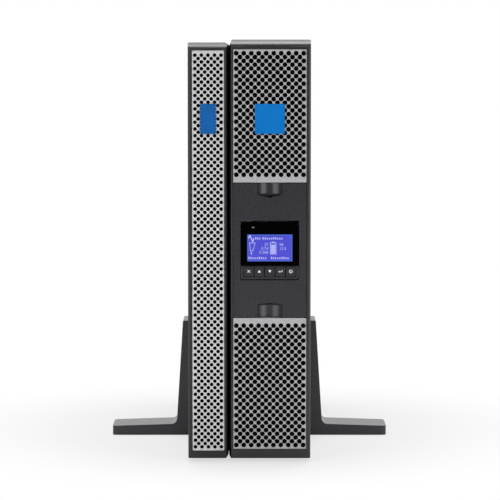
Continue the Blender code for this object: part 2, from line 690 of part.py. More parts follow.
def build_cover(low, high):
    """The centre cover, with the display's pocket, two finger scoops and hollows behind."""
    back = BEZEL_SEAT - SEAT_GAP
    block = Shape().box((low[0], PANEL_FRONT, low[1]), (high[0], back, high[1]))
    cover = block.bevel_all(COVER_EDGE).piece("centre_cover", CHARCOAL_ABS)
    pocket_left, pocket_right = DISPLAY_LEFT - DISPLAY_SIDE_GAP, DISPLAY_RIGHT + DISPLAY_SIDE_GAP
    pocket_bottom, pocket_top = DISPLAY_BOTTOM - DISPLAY_SWING_GAP, DISPLAY_TOP + DISPLAY_SWING_GAP
    pocket_low = (pocket_left, PANEL_FRONT - CUT_PAST, pocket_bottom)
    cut(cover, Shape().box(pocket_low, (pocket_right, back + CUT_PAST, pocket_top)))
    cut(cover, scoop(low[1], 1))
    cut(cover, scoop(high[1], -1))
    cut(cover, cover_hollows(low, high, pocket_bottom, pocket_top))
    bore = circle_at((HINGE.y, HINGE.z), PIN_RADIUS + SEAT_GAP, PIN_SIDES)
    reach = PIN_REACH + SEAT_GAP
    cut(cover, Shape().prism(bore, "X", pocket_left - reach, pocket_right + reach))
    pin = circle_at((HINGE.y, HINGE.z), PIN_RADIUS, PIN_SIDES)
    pin_left, pin_right = pocket_left - PIN_REACH, pocket_right + PIN_REACH
    smooth(Shape().prism(pin, "X", pin_left, pin_right).piece("display_hinge_pin", BARE_STEEL))


def cover_hollows(low, high, pocket_bottom, pocket_top):
    """Hollows behind the cover, beside each scoop and between the scoop and the display's pocket."""
    front = PANEL_FRONT + COVER_WALL
    back = BEZEL_SEAT + CUT_PAST
    cheek = SCOOP_WIDTH / 2 + COVER_WALL
    past_scoop = SCOOP_LENGTH + COVER_RIB
    below, above = pocket_bottom - COVER_RIB, pocket_top + COVER_RIB
    hollows = Shape()
    ends = (
        (low[1] + COVER_WALL, below, low[1] + past_scoop, below),
        (above, high[1] - COVER_WALL, above, high[1] - past_scoop),
    )
    for bottom, top, mid_bottom, mid_top in ends:
        hollows.box((low[0] + COVER_WALL, front, bottom), (UPS_MID - cheek, back, top))
        hollows.box((UPS_MID + cheek, front, bottom), (high[0] - COVER_WALL, back, top))
        inner = cheek - COVER_RIB
        hollows.box((UPS_MID - inner, front, mid_bottom), (UPS_MID + inner, back, mid_top))
    return hollows


def build_display():
    """The tilting display: housing, window, screen, light, board and keys."""
    pivot = bpy.data.objects.new("display_pivot", None)
    pivot.location = HINGE
    bpy.context.scene.collection.objects.link(pivot)
    view_left, view_right = UPS_MID - LCD_VIEW_WIDTH / 2, UPS_MID + LCD_VIEW_WIDTH / 2
    view_top = DISPLAY_TOP - LCD_DROP
    view_bottom = view_top - LCD_VIEW_HEIGHT
    lcd_low = (view_left - LCD_RIM, WINDOW_SEAT, view_bottom - LCD_RIM)
    lcd_high = (view_right + LCD_RIM, WINDOW_SEAT + LCD_THICK, view_top + LCD_RIM)
    pieces = [
        Shape().box(lcd_low, lcd_high).piece("lcd_panel", LCD_BLUE),
        build_housing(lcd_low, lcd_high),
        build_window((view_left, view_bottom), (view_right, view_top)),
    ]
    light_low, light_high = light_corners(0.0)
    light_back = PANEL_FRONT + LIGHT_DEPTH
    light = Shape().box((light_low[0], PANEL_FRONT, light_low[1]), (light_high[0], light_back, light_high[1]))
    pieces.append(light.piece("status_light", LIGHT_PIPE))
    pieces.append(build_display_board())
    for piece in pieces:
        hang_on(set_origin(piece, HINGE), pivot)
    for key in build_keys():
        hang_on(key, pivot)


def light_corners(gap):
    """Corners of the status light in the front view, grown by a gap."""
    left = DISPLAY_LEFT + LIGHT_INSET - LIGHT_WIDTH / 2
    bottom = DISPLAY_TOP - LIGHT_DROP - LIGHT_HEIGHT / 2
    return (left - gap, bottom - gap), (left + LIGHT_WIDTH + gap, bottom + LIGHT_HEIGHT + gap)


def build_housing(lcd_low, lcd_high):
    """The display's moulded housing: seat for the window, key opening, hollow back and hinge bore."""
    back = PANEL_FRONT + DISPLAY_DEPTH
    profile = [
        (PANEL_FRONT, DISPLAY_BOTTOM), (back - DISPLAY_HEEL, DISPLAY_BOTTOM),
        (back, DISPLAY_BOTTOM + DISPLAY_HEEL), (back, DISPLAY_TOP), (PANEL_FRONT, DISPLAY_TOP),
    ]
    housing = Shape().prism(profile, "X", DISPLAY_LEFT, DISPLAY_RIGHT).piece("display_housing", CHARCOAL_ABS)
    seat_low = (DISPLAY_LEFT - CUT_PAST, PANEL_FRONT - CUT_PAST, KEY_BAR_TOP)
    cut(housing, Shape().box(seat_low, (DISPLAY_RIGHT + CUT_PAST, WINDOW_SEAT, DISPLAY_TOP + CUT_PAST)))
    face_back = PANEL_FRONT + DISPLAY_FACE
    openings = Shape()
    hole_low = (lcd_low[0] - SEAT_GAP, WINDOW_SEAT - CUT_PAST, lcd_low[2] - SEAT_GAP)
    openings.box(hole_low, (lcd_high[0] + SEAT_GAP, face_back + CUT_PAST, lcd_high[2] + SEAT_GAP))
    half = (KEY_COUNT * KEY_PITCH - KEY_GAP) / 2 + KEY_CLEARANCE
    key_top = KEY_BAR_TOP - KEY_TOP_RIM
    key_low = (UPS_MID - half, PANEL_FRONT - CUT_PAST, key_top - KEY_HEIGHT - KEY_CLEARANCE)
    openings.box(key_low, (UPS_MID + half, face_back + CUT_PAST, key_top + KEY_CLEARANCE))
    cut(housing, openings)
    hollow_low = (DISPLAY_LEFT + DISPLAY_WALL, face_back, DISPLAY_BOTTOM + DISPLAY_HEEL + DISPLAY_WALL)
    hollow_high = (DISPLAY_RIGHT - DISPLAY_WALL, back + CUT_PAST, DISPLAY_TOP - DISPLAY_WALL)
    cut(housing, Shape().box(hollow_low, hollow_high))
    bore = circle_at((HINGE.y, HINGE.z), PIN_RADIUS + SEAT_GAP, PIN_SIDES)
    return cut(housing, Shape().prism(bore, "X", DISPLAY_LEFT - CUT_PAST, DISPLAY_RIGHT + CUT_PAST))


def build_window(view_low, view_high):
    """The black window over the screen, with its view opening and the light's hole."""
    profile = rounded([
        (PANEL_FRONT, KEY_BAR_TOP + SEAT_GAP, 0.0),
        (PANEL_FRONT + WINDOW_THICK, KEY_BAR_TOP + SEAT_GAP, 0.0),
        (PANEL_FRONT + WINDOW_THICK, DISPLAY_TOP, 0.0),
        (PANEL_FRONT, DISPLAY_TOP, WINDOW_ROUND),
    ])
    window = Shape().prism(profile, "X", DISPLAY_LEFT, DISPLAY_RIGHT).piece("display_window", BLACK_GLOSS)
    openings = Shape()
    through = (PANEL_FRONT - CUT_PAST, PANEL_FRONT + WINDOW_THICK + CUT_PAST)
    for low, high in ((view_low, view_high), light_corners(SEAT_GAP)):
        openings.box((low[0], through[0], low[1]), (high[0], through[1], high[1]))
    return cut(window, openings)


def build_display_board():
    """The circuit board behind the screen and keys."""
    front = PANEL_FRONT - KEY_PROUD + KEY_DEPTH + KEY_TRAVEL + SEAT_GAP
    wall = DISPLAY_WALL + SEAT_GAP
    low = (DISPLAY_LEFT + wall, front, DISPLAY_BOTTOM + DISPLAY_HEEL + wall)
    high = (DISPLAY_RIGHT - wall, front + BOARD_THICK, DISPLAY_TOP - wall)
    return Shape().box(low, high).piece("display_board", BOARD_GREEN)


def build_keys():
    """The row of keys under the window, each with its origin on its own travel line."""
    top = KEY_BAR_TOP - KEY_TOP_RIM
    front = PANEL_FRONT - KEY_PROUD
    keys = []
    for index, use in enumerate(("cancel", "up", "down", "enter", "power")):
        middle = UPS_MID + (index - (KEY_COUNT - 1) / 2) * KEY_PITCH
        half = (KEY_PITCH - KEY_GAP) / 2
        low = (middle - half, front, top - KEY_HEIGHT)
        high = (middle + half, front + KEY_DEPTH, top)
        key = Shape().box(low, high).bevel_all(KEY_EDGE).piece(f"{use}_key", KEY_RUBBER)
        keys.append(set_origin(key, (middle, front, top - KEY_HEIGHT / 2)))
    return keys


def build_ups_case():
    """The power module's steel case: tray, lid, front bulkhead and rear panel."""
    tray_left = UPS_CASE_LEFT + SHEET + SEAT_GAP
    wall = UPS_CASE_RIGHT - SHEET
    tray_outline = [
        (tray_left, CASE_BOTTOM), (UPS_CASE_RIGHT, CASE_BOTTOM), (UPS_CASE_RIGHT, UPS_CASE_TOP),
        (tray_left, UPS_CASE_TOP), (tray_left, UPS_CASE_TOP - SHEET), (wall, UPS_CASE_TOP - SHEET),
        (wall, CASE_BOTTOM + SHEET), (tray_left, CASE_BOTTOM + SHEET),
    ]
    tray = Shape().prism(tray_outline, "Y", CASE_FRONT, CASE_BACK).piece("ups_tray", CASE_STEEL)
    standoffs = Shape()
    board_low, board_high = power_board_corners()
    for along in (board_low[1] + STANDOFF_INSET, board_high[1] - STANDOFF_INSET):
        for up in (board_low[2] + STANDOFF_INSET, board_high[2] - STANDOFF_INSET):
            outline = circle_at((along, up), STANDOFF_RADIUS, PIN_SIDES)
            standoffs.prism(outline, "X", wall - STANDOFF_HEIGHT, wall + SHEET / 2)
    add(tray, standoffs)
    flange = UPS_CASE_LEFT + SHEET + LID_FLANGE
    flange_top = UPS_CASE_TOP - SHEET - SEAT_GAP
    flange_bottom = CASE_BOTTOM + SHEET + SEAT_GAP
    plate = UPS_CASE_LEFT + SHEET
    lid_outline = [
        (UPS_CASE_LEFT, CASE_BOTTOM), (plate, CASE_BOTTOM), (plate, flange_bottom), (flange, flange_bottom),
        (flange, flange_bottom + SHEET), (plate, flange_bottom + SHEET), (plate, flange_top - SHEET),
        (flange, flange_top - SHEET), (flange, flange_top), (plate, flange_top), (plate, UPS_CASE_TOP),
        (UPS_CASE_LEFT, UPS_CASE_TOP),
    ]
    Shape().prism(lid_outline, "Y", CASE_FRONT, CASE_BACK).piece("ups_lid", CASE_STEEL)
    build_bulkhead()


def build_bulkhead():
    """The steel front wall, with a battery doorway below and an air window above."""
    low = (INNER_LEFT, CASE_FRONT, INNER_BOTTOM)
    high = (INNER_RIGHT, CASE_FRONT + SHEET, INNER_TOP)
    bulkhead = Shape().box(low, high).piece("ups_front_bulkhead", CASE_STEEL)
    doorway_top = pack_corners()[1][2]
    window_bottom = doorway_top + BULKHEAD_BAR
    windows = Shape()
    for bottom, top in ((low[2] + BULKHEAD_RIM, doorway_top), (window_bottom, high[2] - BULKHEAD_RIM)):
        window_low = (low[0] + BULKHEAD_RIM, low[1] - CUT_PAST, bottom)
        windows.box(window_low, (high[0] - BULKHEAD_RIM, high[1] + CUT_PAST, top))
    cut(bulkhead, windows)


def pack_corners():
    """Corners of the battery pack on its tray, behind the front bulkhead."""
    lift = SHEET + SEAT_GAP
    low = (INNER_LEFT + lift, INNER_FRONT + PACK_SET_BACK, INNER_BOTTOM + lift)
    high = (INNER_RIGHT - lift, low[1] + PACK_LENGTH, low[2] + PACK_HEIGHT)
    return low, high


def power_board_corners():
    """Corners of the power board, on standoffs from the case's right wall."""
    right = UPS_CASE_RIGHT - SHEET - STANDOFF_HEIGHT - SEAT_GAP
    front = INNER_FRONT + PACK_SET_BACK
    low = (right - BOARD_THICK, front, pack_corners()[1][2] + BOARD_LIFT)
    return low, (right, front + BOARD_LENGTH, INNER_TOP - BOARD_TOP_GAP)


def build_battery():
    """The battery pack in its pull-out tray behind the lower grille."""
    low, high = pack_corners()
    lift = SHEET + SEAT_GAP
    tray_outline = [
        (low[0] - lift, low[2] - lift), (high[0] + lift, low[2] - lift),
        (high[0] + lift, high[2]), (high[0] + SEAT_GAP, high[2]),
        (high[0] + SEAT_GAP, low[2] - SEAT_GAP), (low[0] - SEAT_GAP, low[2] - SEAT_GAP),
        (low[0] - SEAT_GAP, high[2]), (low[0] - lift, high[2]),
    ]
    Shape().prism(tray_outline, "Y", low[1], high[1]).piece("battery_tray", BARE_STEEL)
    Shape().box(low, high).bevel_all(PACK_EDGE).piece("battery_pack", PACK_GREY)


def build_power_board():
    """The power board and the parts that stand on it, towards the case's lid."""
    low, high = power_board_corners()
    Shape().box(low, high).piece("power_board", BOARD_GREEN)
    seat = low[0] - SEAT_GAP
    sink_front = low[1] + COMPONENT_GAP
    build_heatsink("rectifier_heatsink", seat, sink_front, low[2] + SINK_EDGE_GAP)
    build_heatsink("inverter_heatsink", seat, sink_front, high[2] - SINK_EDGE_GAP - SINK_WIDTH)
    lower, upper = low[2] + SINK_EDGE_GAP + SINK_WIDTH / 2, high[2] - SINK_EDGE_GAP - SINK_WIDTH / 2
    place = sink_front + SINK_LENGTH + COMPONENT_GAP + CAPACITOR_RADIUS
    for name, height in (("bulk_capacitor_lower", lower), ("bulk_capacitor_upper", upper)):
        build_capacitor(name, seat, place, height)
    place += CAPACITOR_RADIUS + COMPONENT_GAP
    ring = Shape().prism(circle_at((place + INDUCTOR_RADIUS, lower), INDUCTOR_RADIUS, 2 * ROUND_SIDES), "X",
                         seat - INDUCTOR_HEIGHT, seat)
    inductor = smooth(ring.piece("boost_inductor", COPPER_WINDING))
    bore = circle_at((place + INDUCTOR_RADIUS, lower), INDUCTOR_BORE, ROUND_SIDES)
    cut(inductor, Shape().prism(bore, "X", seat - INDUCTOR_HEIGHT - CUT_PAST, seat + CUT_PAST))
    build_transformer(seat, place, upper)


def build_heatsink(name, seat, front, bottom):
    """A finned aluminium heatsink with its base on the power board."""
    base = seat - SINK_BASE
    tip = base - SINK_FIN_HEIGHT
    step = (SINK_WIDTH - SINK_FIN) / (SINK_FIN_COUNT - 1)
    outline = [(seat, bottom + SINK_WIDTH), (seat, bottom)]
    for index in range(SINK_FIN_COUNT):
        fin = bottom + index * step
        outline += [(base, fin)] if index else []
        outline += [(tip, fin), (tip, fin + SINK_FIN)]
        outline += [(base, fin + SINK_FIN)] if index < SINK_FIN_COUNT - 1 else []
    Shape().prism(outline, "Y", front, front + SINK_LENGTH).piece(name, ALUMINIUM)


def build_capacitor(name, seat, along, up):
    """A can capacitor that stands on the power board."""
    can = Shape()
    rings = []
    profile = (
        (CAPACITOR_RADIUS, seat), (CAPACITOR_RADIUS, seat - CAPACITOR_HEIGHT + CAPACITOR_EDGE),
        (CAPACITOR_RADIUS - CAPACITOR_EDGE, seat - CAPACITOR_HEIGHT),
    )
    for radius, across in profile:
        outline = circle_at((along, up), radius, ROUND_SIDES)
        rings.append([can.mesh.verts.new((across, place, height)) for place, height in outline])
    can.bridge(rings)
    smooth(can.piece(name, SLEEVE_BLACK))


def build_transformer(seat, front, up):
    """The output transformer: a laminated core with its coil standing proud at both sides."""
    core_low = (seat - TRANSFORMER_HEIGHT, front, up - TRANSFORMER_WIDTH / 2)
    core_high = (seat, front + TRANSFORMER_LENGTH, up + TRANSFORMER_WIDTH / 2)
    core = Shape().box(core_low, core_high).piece("output_transformer", CORE_STEEL)
    coil_front = front + (TRANSFORMER_LENGTH - COIL_LENGTH) / 2
    coil_low = (core_low[0] + COIL_PROUD, coil_front, core_low[2] - COIL_PROUD)
    coil_high = (core_high[0] - COIL_PROUD, coil_front + COIL_LENGTH, core_high[2] + COIL_PROUD)
    add(core, Shape().box(coil_low, coil_high))


def rear_places():
    """Heights of the middles of the rear panel's rows, spread evenly from bottom to top."""
    outlet_height = OUTLET_ROWS * OUTLET_PITCH_Z + 2 * OUTLET_RIM
    rows = (
        ("socket", SOCKET_HEIGHT), ("inlet", INLET_HEIGHT), ("outlets", outlet_height),
        ("ports", PORT_ROW_HEIGHT), ("card", CARD_HEIGHT), ("lower_fan", FAN_SIZE), ("upper_fan", FAN_SIZE),
    )
    spare = INNER_TOP - INNER_BOTTOM - sum(height for _, height in rows)
    spacing = spare / (len(rows) + 1)
    places = {}
    bottom = INNER_BOTTOM
    for name, height in rows:
        bottom += spacing
        places[name] = bottom + height / 2
        bottom += height
    return places


def build_rear():
    """The rear panel and all that is mounted in it."""
    places = rear_places()
    panel_low = (INNER_LEFT, CASE_BACK - SHEET, INNER_BOTTOM)
    panel = Shape().box(panel_low, (INNER_RIGHT, CASE_BACK, INNER_TOP)).piece("ups_rear_panel", CASE_STEEL)
    holes = Shape()
    through = (CASE_BACK - SHEET - CUT_PAST, CASE_BACK + CUT_PAST)
    for name in ("lower_fan", "upper_fan"):
        duct = circle_at((UPS_MID, places[name]), FAN_SIZE / 2 - FAN_RIM, DUCT_SIDES)
        holes.prism(duct, "Y", *through)
        build_fan(name, places[name])
    outlet_size = outlet_body_size()
    inlet_middle, breaker_middle = UPS_MID - INLET_OFFSET, UPS_MID + BREAKER_OFFSET
    usb_middle, serial_middle = UPS_MID - PORT_SPREAD, UPS_MID + PORT_SPREAD
    bodies = (
        (UPS_MID, places["outlets"], *outlet_size),
        (inlet_middle, places["inlet"], INLET_WIDTH, INLET_HEIGHT),
        (UPS_MID, places["socket"], SOCKET_WIDTH, SOCKET_HEIGHT),
        (usb_middle, places["ports"], USB_WIDTH, USB_HEIGHT),
        (serial_middle, places["ports"], SERIAL_WIDTH, SERIAL_HEIGHT),
    )
    for across, up, width, height in bodies:
        low = (across - width / 2 - SEAT_GAP, up - height / 2 - SEAT_GAP)
        high = (across + width / 2 + SEAT_GAP, up + height / 2 + SEAT_GAP)
        holes.prism(rectangle(low, high), "Y", *through)
    barrel_hole = circle_at((breaker_middle, places["inlet"]), BREAKER_RADIUS + SEAT_GAP, ROUND_SIDES)
    holes.prism(barrel_hole, "Y", *through)
    cut(panel, holes)
    build_outlets(places["outlets"], outlet_size)
    build_inlet(inlet_middle, places["inlet"])
    build_breaker((breaker_middle, places["inlet"]))
    build_socket("ups_battery_socket", UPS_MID, places["socket"], SOCKET_WIDTH)
    build_ports(usb_middle, serial_middle, places["ports"])
    card_low = (UPS_MID - CARD_WIDTH / 2, FLANGE_SEAT, places["card"] - CARD_HEIGHT / 2)
    card_high = (UPS_MID + CARD_WIDTH / 2, FLANGE_SEAT + CARD_THICK, places["card"] + CARD_HEIGHT / 2)
    Shape().box(card_low, card_high).piece("card_slot_cover", BARE_STEEL)
    build_ties(places)


def flanged_block(name, middle, size, depth, finish):
    """A block through the rear panel, with a flange that seats on the panel's outside."""
    half_x, half_z = size[0] / 2, size[1] / 2
    low = (middle[0] - half_x, CASE_BACK - depth, middle[1] - half_z)
    block = Shape().box(low, (middle[0] + half_x, FLANGE_BACK, middle[1] + half_z)).piece(name, finish)
    flange_low = (low[0] - FLANGE_LIP, FLANGE_SEAT, low[2] - FLANGE_LIP)
    flange_high = (middle[0] + half_x + FLANGE_LIP, FLANGE_BACK, middle[1] + half_z + FLANGE_LIP)
    return add(block, Shape().box(flange_low, flange_high))


def build_fan(name, up):
    """A square fan behind the rear panel, and the rotor that turns on the frame's spider."""
    half = FAN_SIZE / 2
    duct = half - FAN_RIM
    back = INNER_BACK
    front = back - FAN_DEPTH
    middle = (UPS_MID, up)
    frame = Shape().box((UPS_MID - half, front, up - half), (UPS_MID + half, back, up + half))
    frame = frame.piece(f"{name}_frame", SOCKET_BLACK)
    cut(frame, Shape().prism(circle_at(middle, duct, DUCT_SIDES), "Y", front - CUT_PAST, back + CUT_PAST))
    bar = FAN_SPIDER_BAR / 2
    reach = duct + FAN_RIM / 2
    spider = [
        (-bar, -reach), (bar, -reach), (bar, -bar), (reach, -bar), (reach, bar), (bar, bar),
        (bar, reach), (-bar, reach), (-bar, bar), (-reach, bar), (-reach, -bar), (-bar, -bar),
    ]
    spider_back = front + FAN_SPIDER_THICK
    add(frame, Shape().prism([(UPS_MID + a, up + b) for a, b in spider], "Y", front, spider_back))
    add(frame, Shape().prism(circle_at(middle, FAN_HUB_RADIUS, ROUND_SIDES), "Y", front, spider_back))
    bore = circle_at(middle, FAN_SHAFT_RADIUS + SEAT_GAP, PIN_SIDES)
    cut(frame, Shape().prism(bore, "Y", front - CUT_PAST, spider_back + CUT_PAST))
    build_rotor(f"{name}_rotor", middle, spider_back + SEAT_GAP, back - FAN_RECESS, duct - FAN_TIP_GAP)


def build_rotor(name, middle, front, back, tip):
    """A fan rotor: hub and shaft turned in one, with pitched blades."""
    profile = [
        (FAN_SHAFT_RADIUS, front - FAN_SHAFT_LENGTH), (FAN_SHAFT_RADIUS, front), (FAN_HUB_RADIUS, front),
        (FAN_HUB_RADIUS, back),
    ]
    rotor = smooth(Shape().turned(profile, middle, 2 * ROUND_SIDES).piece(name, SOCKET_GREY))
    blades = Shape()
    axis = Vector((middle[0], (front + back) / 2, middle[1]))
    for index in range(FAN_BLADES):
        blade = Shape()
        low = (axis.x + FAN_HUB_RADIUS * 0.9, axis.y - FAN_BLADE_THICK / 2, axis.z - FAN_CHORD / 2)
        high = (axis.x + tip, axis.y + FAN_BLADE_THICK / 2, axis.z + FAN_CHORD / 2)
        blade.box(low, high).turn(FAN_BLADE_ANGLE, "X", axis)
        blade.turn(2 * math.pi * index / FAN_BLADES, "Y", axis)
        blades.mesh.from_mesh(blade.data(f"{name}_blade"))
    add(rotor, blades)
    set_origin(rotor, axis)


def outlet_body_size():
    """Width and height of the outlet frame's body."""
    width = OUTLET_COLUMNS * OUTLET_PITCH_X + 2 * OUTLET_RIM
    return width, OUTLET_ROWS * OUTLET_PITCH_Z + 2 * OUTLET_RIM


def outlet_middles(up):
    """Middles of the outlets, row by row."""
    middles = []
    for row in range(OUTLET_ROWS):
        for column in range(OUTLET_COLUMNS):
            across = UPS_MID + (column - (OUTLET_COLUMNS - 1) / 2) * OUTLET_PITCH_X
            middles.append((across, up + (row - (OUTLET_ROWS - 1) / 2) * OUTLET_PITCH_Z))
    return middles


def well_outline(middle, shrink):
    """A rectangle with its two upper corners cut, as such outlets have, shrunk on every side."""
    half_x, half_z = WELL_WIDTH / 2 - shrink, WELL_HEIGHT / 2 - shrink
    chamfer = WELL_CHAMFER - shrink * (2 - math.sqrt(2))
    outline = [
        (-half_x, -half_z), (half_x, -half_z), (half_x, half_z - chamfer), (half_x - chamfer, half_z),
        (chamfer - half_x, half_z), (-half_x, half_z - chamfer),
    ]
    return [(middle[0] + across, middle[1] + up) for across, up in outline]


def build_outlets(up, size):
    """The bank of outlets: a frame with a well for each plug, and the cores that stand in the wells."""
    frame = flanged_block("outlet_frame", (UPS_MID, up), size, WELL_DEPTH, SOCKET_BLACK)
    wells = Shape()
    cores = Shape()
    slots = Shape()
    core_back = FLANGE_BACK - CORE_RECESS
    base_back = CASE_BACK - WELL_DEPTH - SEAT_GAP
    contacts = ((-CONTACT_SPREAD, -CONTACT_LIFT), (0.0, CONTACT_LIFT), (CONTACT_SPREAD, -CONTACT_LIFT))
    for middle in outlet_middles(up):
        wells.prism(well_outline(middle, 0.0), "Y", CASE_BACK - WELL_DEPTH - CUT_PAST, FLANGE_BACK + CUT_PAST)
        cores.prism(well_outline(middle, WELL_GROOVE), "Y", base_back - CORE_BASE / 2, core_back)
        for across, lift in contacts:
            half = (CONTACT_SLOT_WIDTH / 2, CONTACT_SLOT_HEIGHT / 2)
            low = (middle[0] + across - half[0], core_back - CONTACT_SLOT_DEPTH, middle[1] + lift - half[1])
            high = (middle[0] + across + half[0], core_back + CUT_PAST, middle[1] + lift + half[1])
            slots.box(low, high)
    cut(frame, wells)
    base_low = (UPS_MID - size[0] / 2, base_back - CORE_BASE, up - size[1] / 2)
    base = Shape().box(base_low, (UPS_MID + size[0] / 2, base_back, up + size[1] / 2))
    cut(add(base.piece("outlet_cores", SOCKET_GREY), cores), slots)


def build_inlet(across, up):
    """The mains inlet: a flanged shell with three contact blades in its cavity."""
    inlet = flanged_block("mains_inlet", (across, up), (INLET_WIDTH, INLET_HEIGHT), INLET_DEPTH, SOCKET_BLACK)
    floor = FLANGE_BACK - INLET_CAVITY_DEPTH
    half_x, half_z = INLET_WIDTH / 2 - INLET_WALL, INLET_HEIGHT / 2 - INLET_WALL
    low = (across - half_x, floor, up - half_z)
    cut(inlet, Shape().box(low, (across + half_x, FLANGE_BACK + CUT_PAST, up + half_z)))
    blades = Shape()
    for side, lift in ((-BLADE_SPREAD, -BLADE_LIFT), (BLADE_SPREAD, -BLADE_LIFT), (0.0, BLADE_LIFT)):
        middle, height = across + side, up + lift
        blade_low = (middle - BLADE_WIDTH / 2, floor - INLET_WALL / 2, height - BLADE_THICK / 2)
        blade_high = (middle + BLADE_WIDTH / 2, FLANGE_BACK - BLADE_RECESS, height + BLADE_THICK / 2)
        blades.box(blade_low, blade_high)
    add(inlet, blades)


def build_breaker(middle):
    """The resettable breaker: a barrel with its nut on the panel, and a button that pops out on a trip."""
    nut_back = FLANGE_BACK - BREAKER_BUTTON_EDGE
    barrel_profile = [
        (BREAKER_RADIUS, CASE_BACK - BREAKER_DEPTH), (BREAKER_RADIUS, FLANGE_SEAT),
        (BREAKER_NUT_RADIUS, FLANGE_SEAT), (BREAKER_NUT_RADIUS, nut_back), (BREAKER_RADIUS, nut_back),
    ]
    barrel = Shape().turned(barrel_profile, middle, ROUND_SIDES).piece("breaker_body", SOCKET_BLACK)
    bore_front = FLANGE_BACK - BREAKER_BUTTON_LENGTH - SEAT_GAP
    bore = circle_at(middle, BREAKER_BUTTON_RADIUS + SEAT_GAP, ROUND_SIDES)
    cut(barrel, Shape().prism(bore, "Y", bore_front, FLANGE_BACK + CUT_PAST))
    button_profile = [
        (BREAKER_BUTTON_RADIUS, FLANGE_BACK - BREAKER_BUTTON_LENGTH),
        (BREAKER_BUTTON_RADIUS, FLANGE_BACK - BREAKER_BUTTON_EDGE),
        (BREAKER_BUTTON_RADIUS - BREAKER_BUTTON_EDGE, FLANGE_BACK),
    ]
    button = Shape().turned(button_profile, middle, ROUND_SIDES).piece("breaker_button", SOCKET_GREY)
    set_origin(smooth(button), (middle[0], FLANGE_BACK, middle[1]))


def build_socket(name, across, up, width):
    """A two-pole battery socket with a well for each pole."""
    socket = flanged_block(name, (across, up), (width, SOCKET_HEIGHT), SOCKET_DEPTH, SOCKET_GREY)
    wells = Shape()
    floor = FLANGE_BACK - SOCKET_WELL_DEPTH
    well = (width - 3 * SOCKET_WALL) / 2
    half = SOCKET_HEIGHT / 2 - SOCKET_WALL
    for start in (across - SOCKET_WALL / 2 - well, across + SOCKET_WALL / 2):
        wells.box((start, floor, up - half), (start + well, FLANGE_BACK + CUT_PAST, up + half))
    cut(socket, wells)


def build_ports(usb_middle, serial_middle, up):
    """The data ports, and the control board that carries them behind the rear panel."""
    usb_low = (usb_middle - USB_WIDTH / 2, CASE_BACK - USB_DEPTH, up - USB_HEIGHT / 2)
    usb_high = (usb_middle + USB_WIDTH / 2, FLANGE_SEAT, up + USB_HEIGHT / 2)
    usb = Shape().box(usb_low, usb_high).piece("usb_port", BARE_STEEL)
    floor = FLANGE_SEAT - USB_CAVITY_DEPTH
    cavity_low = (usb_low[0] + USB_WALL, floor, usb_low[2] + USB_WALL)
    cavity_high = (usb_high[0] - USB_WALL, FLANGE_SEAT + CUT_PAST, usb_high[2] - USB_WALL)
    cut(usb, Shape().box(cavity_low, cavity_high))
    tongue_low = (usb_middle - USB_TONGUE_WIDTH / 2, floor - USB_WALL, up - USB_TONGUE_HEIGHT / 2)
    tongue_high = (usb_middle + USB_TONGUE_WIDTH / 2, floor + USB_TONGUE_LENGTH, up + USB_TONGUE_HEIGHT / 2)
    add(usb, Shape().box(tongue_low, tongue_high))
    build_serial_port(serial_middle, up)
    board_top = up - USB_HEIGHT / 2 - SEAT_GAP
    board_low = (INNER_LEFT, INNER_BACK - CONTROL_BOARD_LENGTH, board_top - BOARD_THICK)
    Shape().box(board_low, (INNER_RIGHT, INNER_BACK, board_top)).piece("control_board", BOARD_GREEN)


def build_serial_port(across, up):
    """A nine-way serial port: a shell with slanted ends."""
    half_x, half_z = SERIAL_WIDTH / 2, SERIAL_HEIGHT / 2
    shell = d_outline(across, up, half_x, half_z)
    port = Shape().prism(shell, "Y", CASE_BACK - SERIAL_DEPTH, FLANGE_BACK).piece("serial_port", BARE_STEEL)
    hollow = d_outline(across, up, half_x - SERIAL_WALL, half_z - SERIAL_WALL)
    cut(port, Shape().prism(hollow, "Y", FLANGE_BACK - SERIAL_CAVITY_DEPTH, FLANGE_BACK + CUT_PAST))


def d_outline(across, up, half_x, half_z):
    """Outline of a serial port, narrower below than above."""
    return [
        (across - half_x + SERIAL_SLANT, up - half_z), (across + half_x - SERIAL_SLANT, up - half_z),
        (across + half_x, up + half_z), (across - half_x, up + half_z),
    ]


def build_ties(places):
    """Plates across the back that tie the two modules together."""
    left = MODULE_RIGHT - CASE_INSET - TIE_REACH
    right = INNER_LEFT + TIE_REACH
    between_fans = (places["lower_fan"] + places["upper_fan"]) / 2
    for name, up in (("tie_plate_lower", places["ports"]), ("tie_plate_upper", between_fans)):
        low = (left, FLANGE_SEAT, up - TIE_HEIGHT / 2)
        Shape().box(low, (right, FLANGE_SEAT + TIE_THICK, up + TIE_HEIGHT / 2)).piece(name, BARE_STEEL)


def build_module_front():
    """The battery module's bezel, its long grille and its badge."""
    bezel = bezel_blank("module_bezel", MODULE_LEFT, MODULE_RIGHT, MODULE_TOP, 1)
    left, right = MODULE_LEFT + BEZEL_SIDE, MODULE_RIGHT - BEZEL_SIDE
    bottom, top = BEZEL_BOTTOM + MODULE_GRILLE_END, MODULE_TOP - MODULE_GRILLE_END
    cut(bezel, Shape().box((left, BEZEL_FRONT - CUT_PAST, bottom), (right, BEZEL_SEAT, top)))
    window_low = (left + LEDGE, BEZEL_SEAT - CUT_PAST, bottom + LEDGE)
    cut(bezel, Shape().box(window_low, (right - LEDGE, BEZEL_BACK + CUT_PAST, top - LEDGE)))
    low = (left + PANEL_GAP, bottom + PANEL_GAP)
    high = (right - PANEL_GAP, top - PANEL_GAP)
    grille = panel_shell("module_grille", low, high, SILVER_PAINT)
    perforate(grille, low, high, MODULE_HOLE_PITCH, MODULE_HOLE_RADIUS, None)
    badge_plate("module_badge", (MODULE_MID, UPS_MID_HEIGHT + BADGE_HEIGHT), MODULE_BADGE_WIDTH)


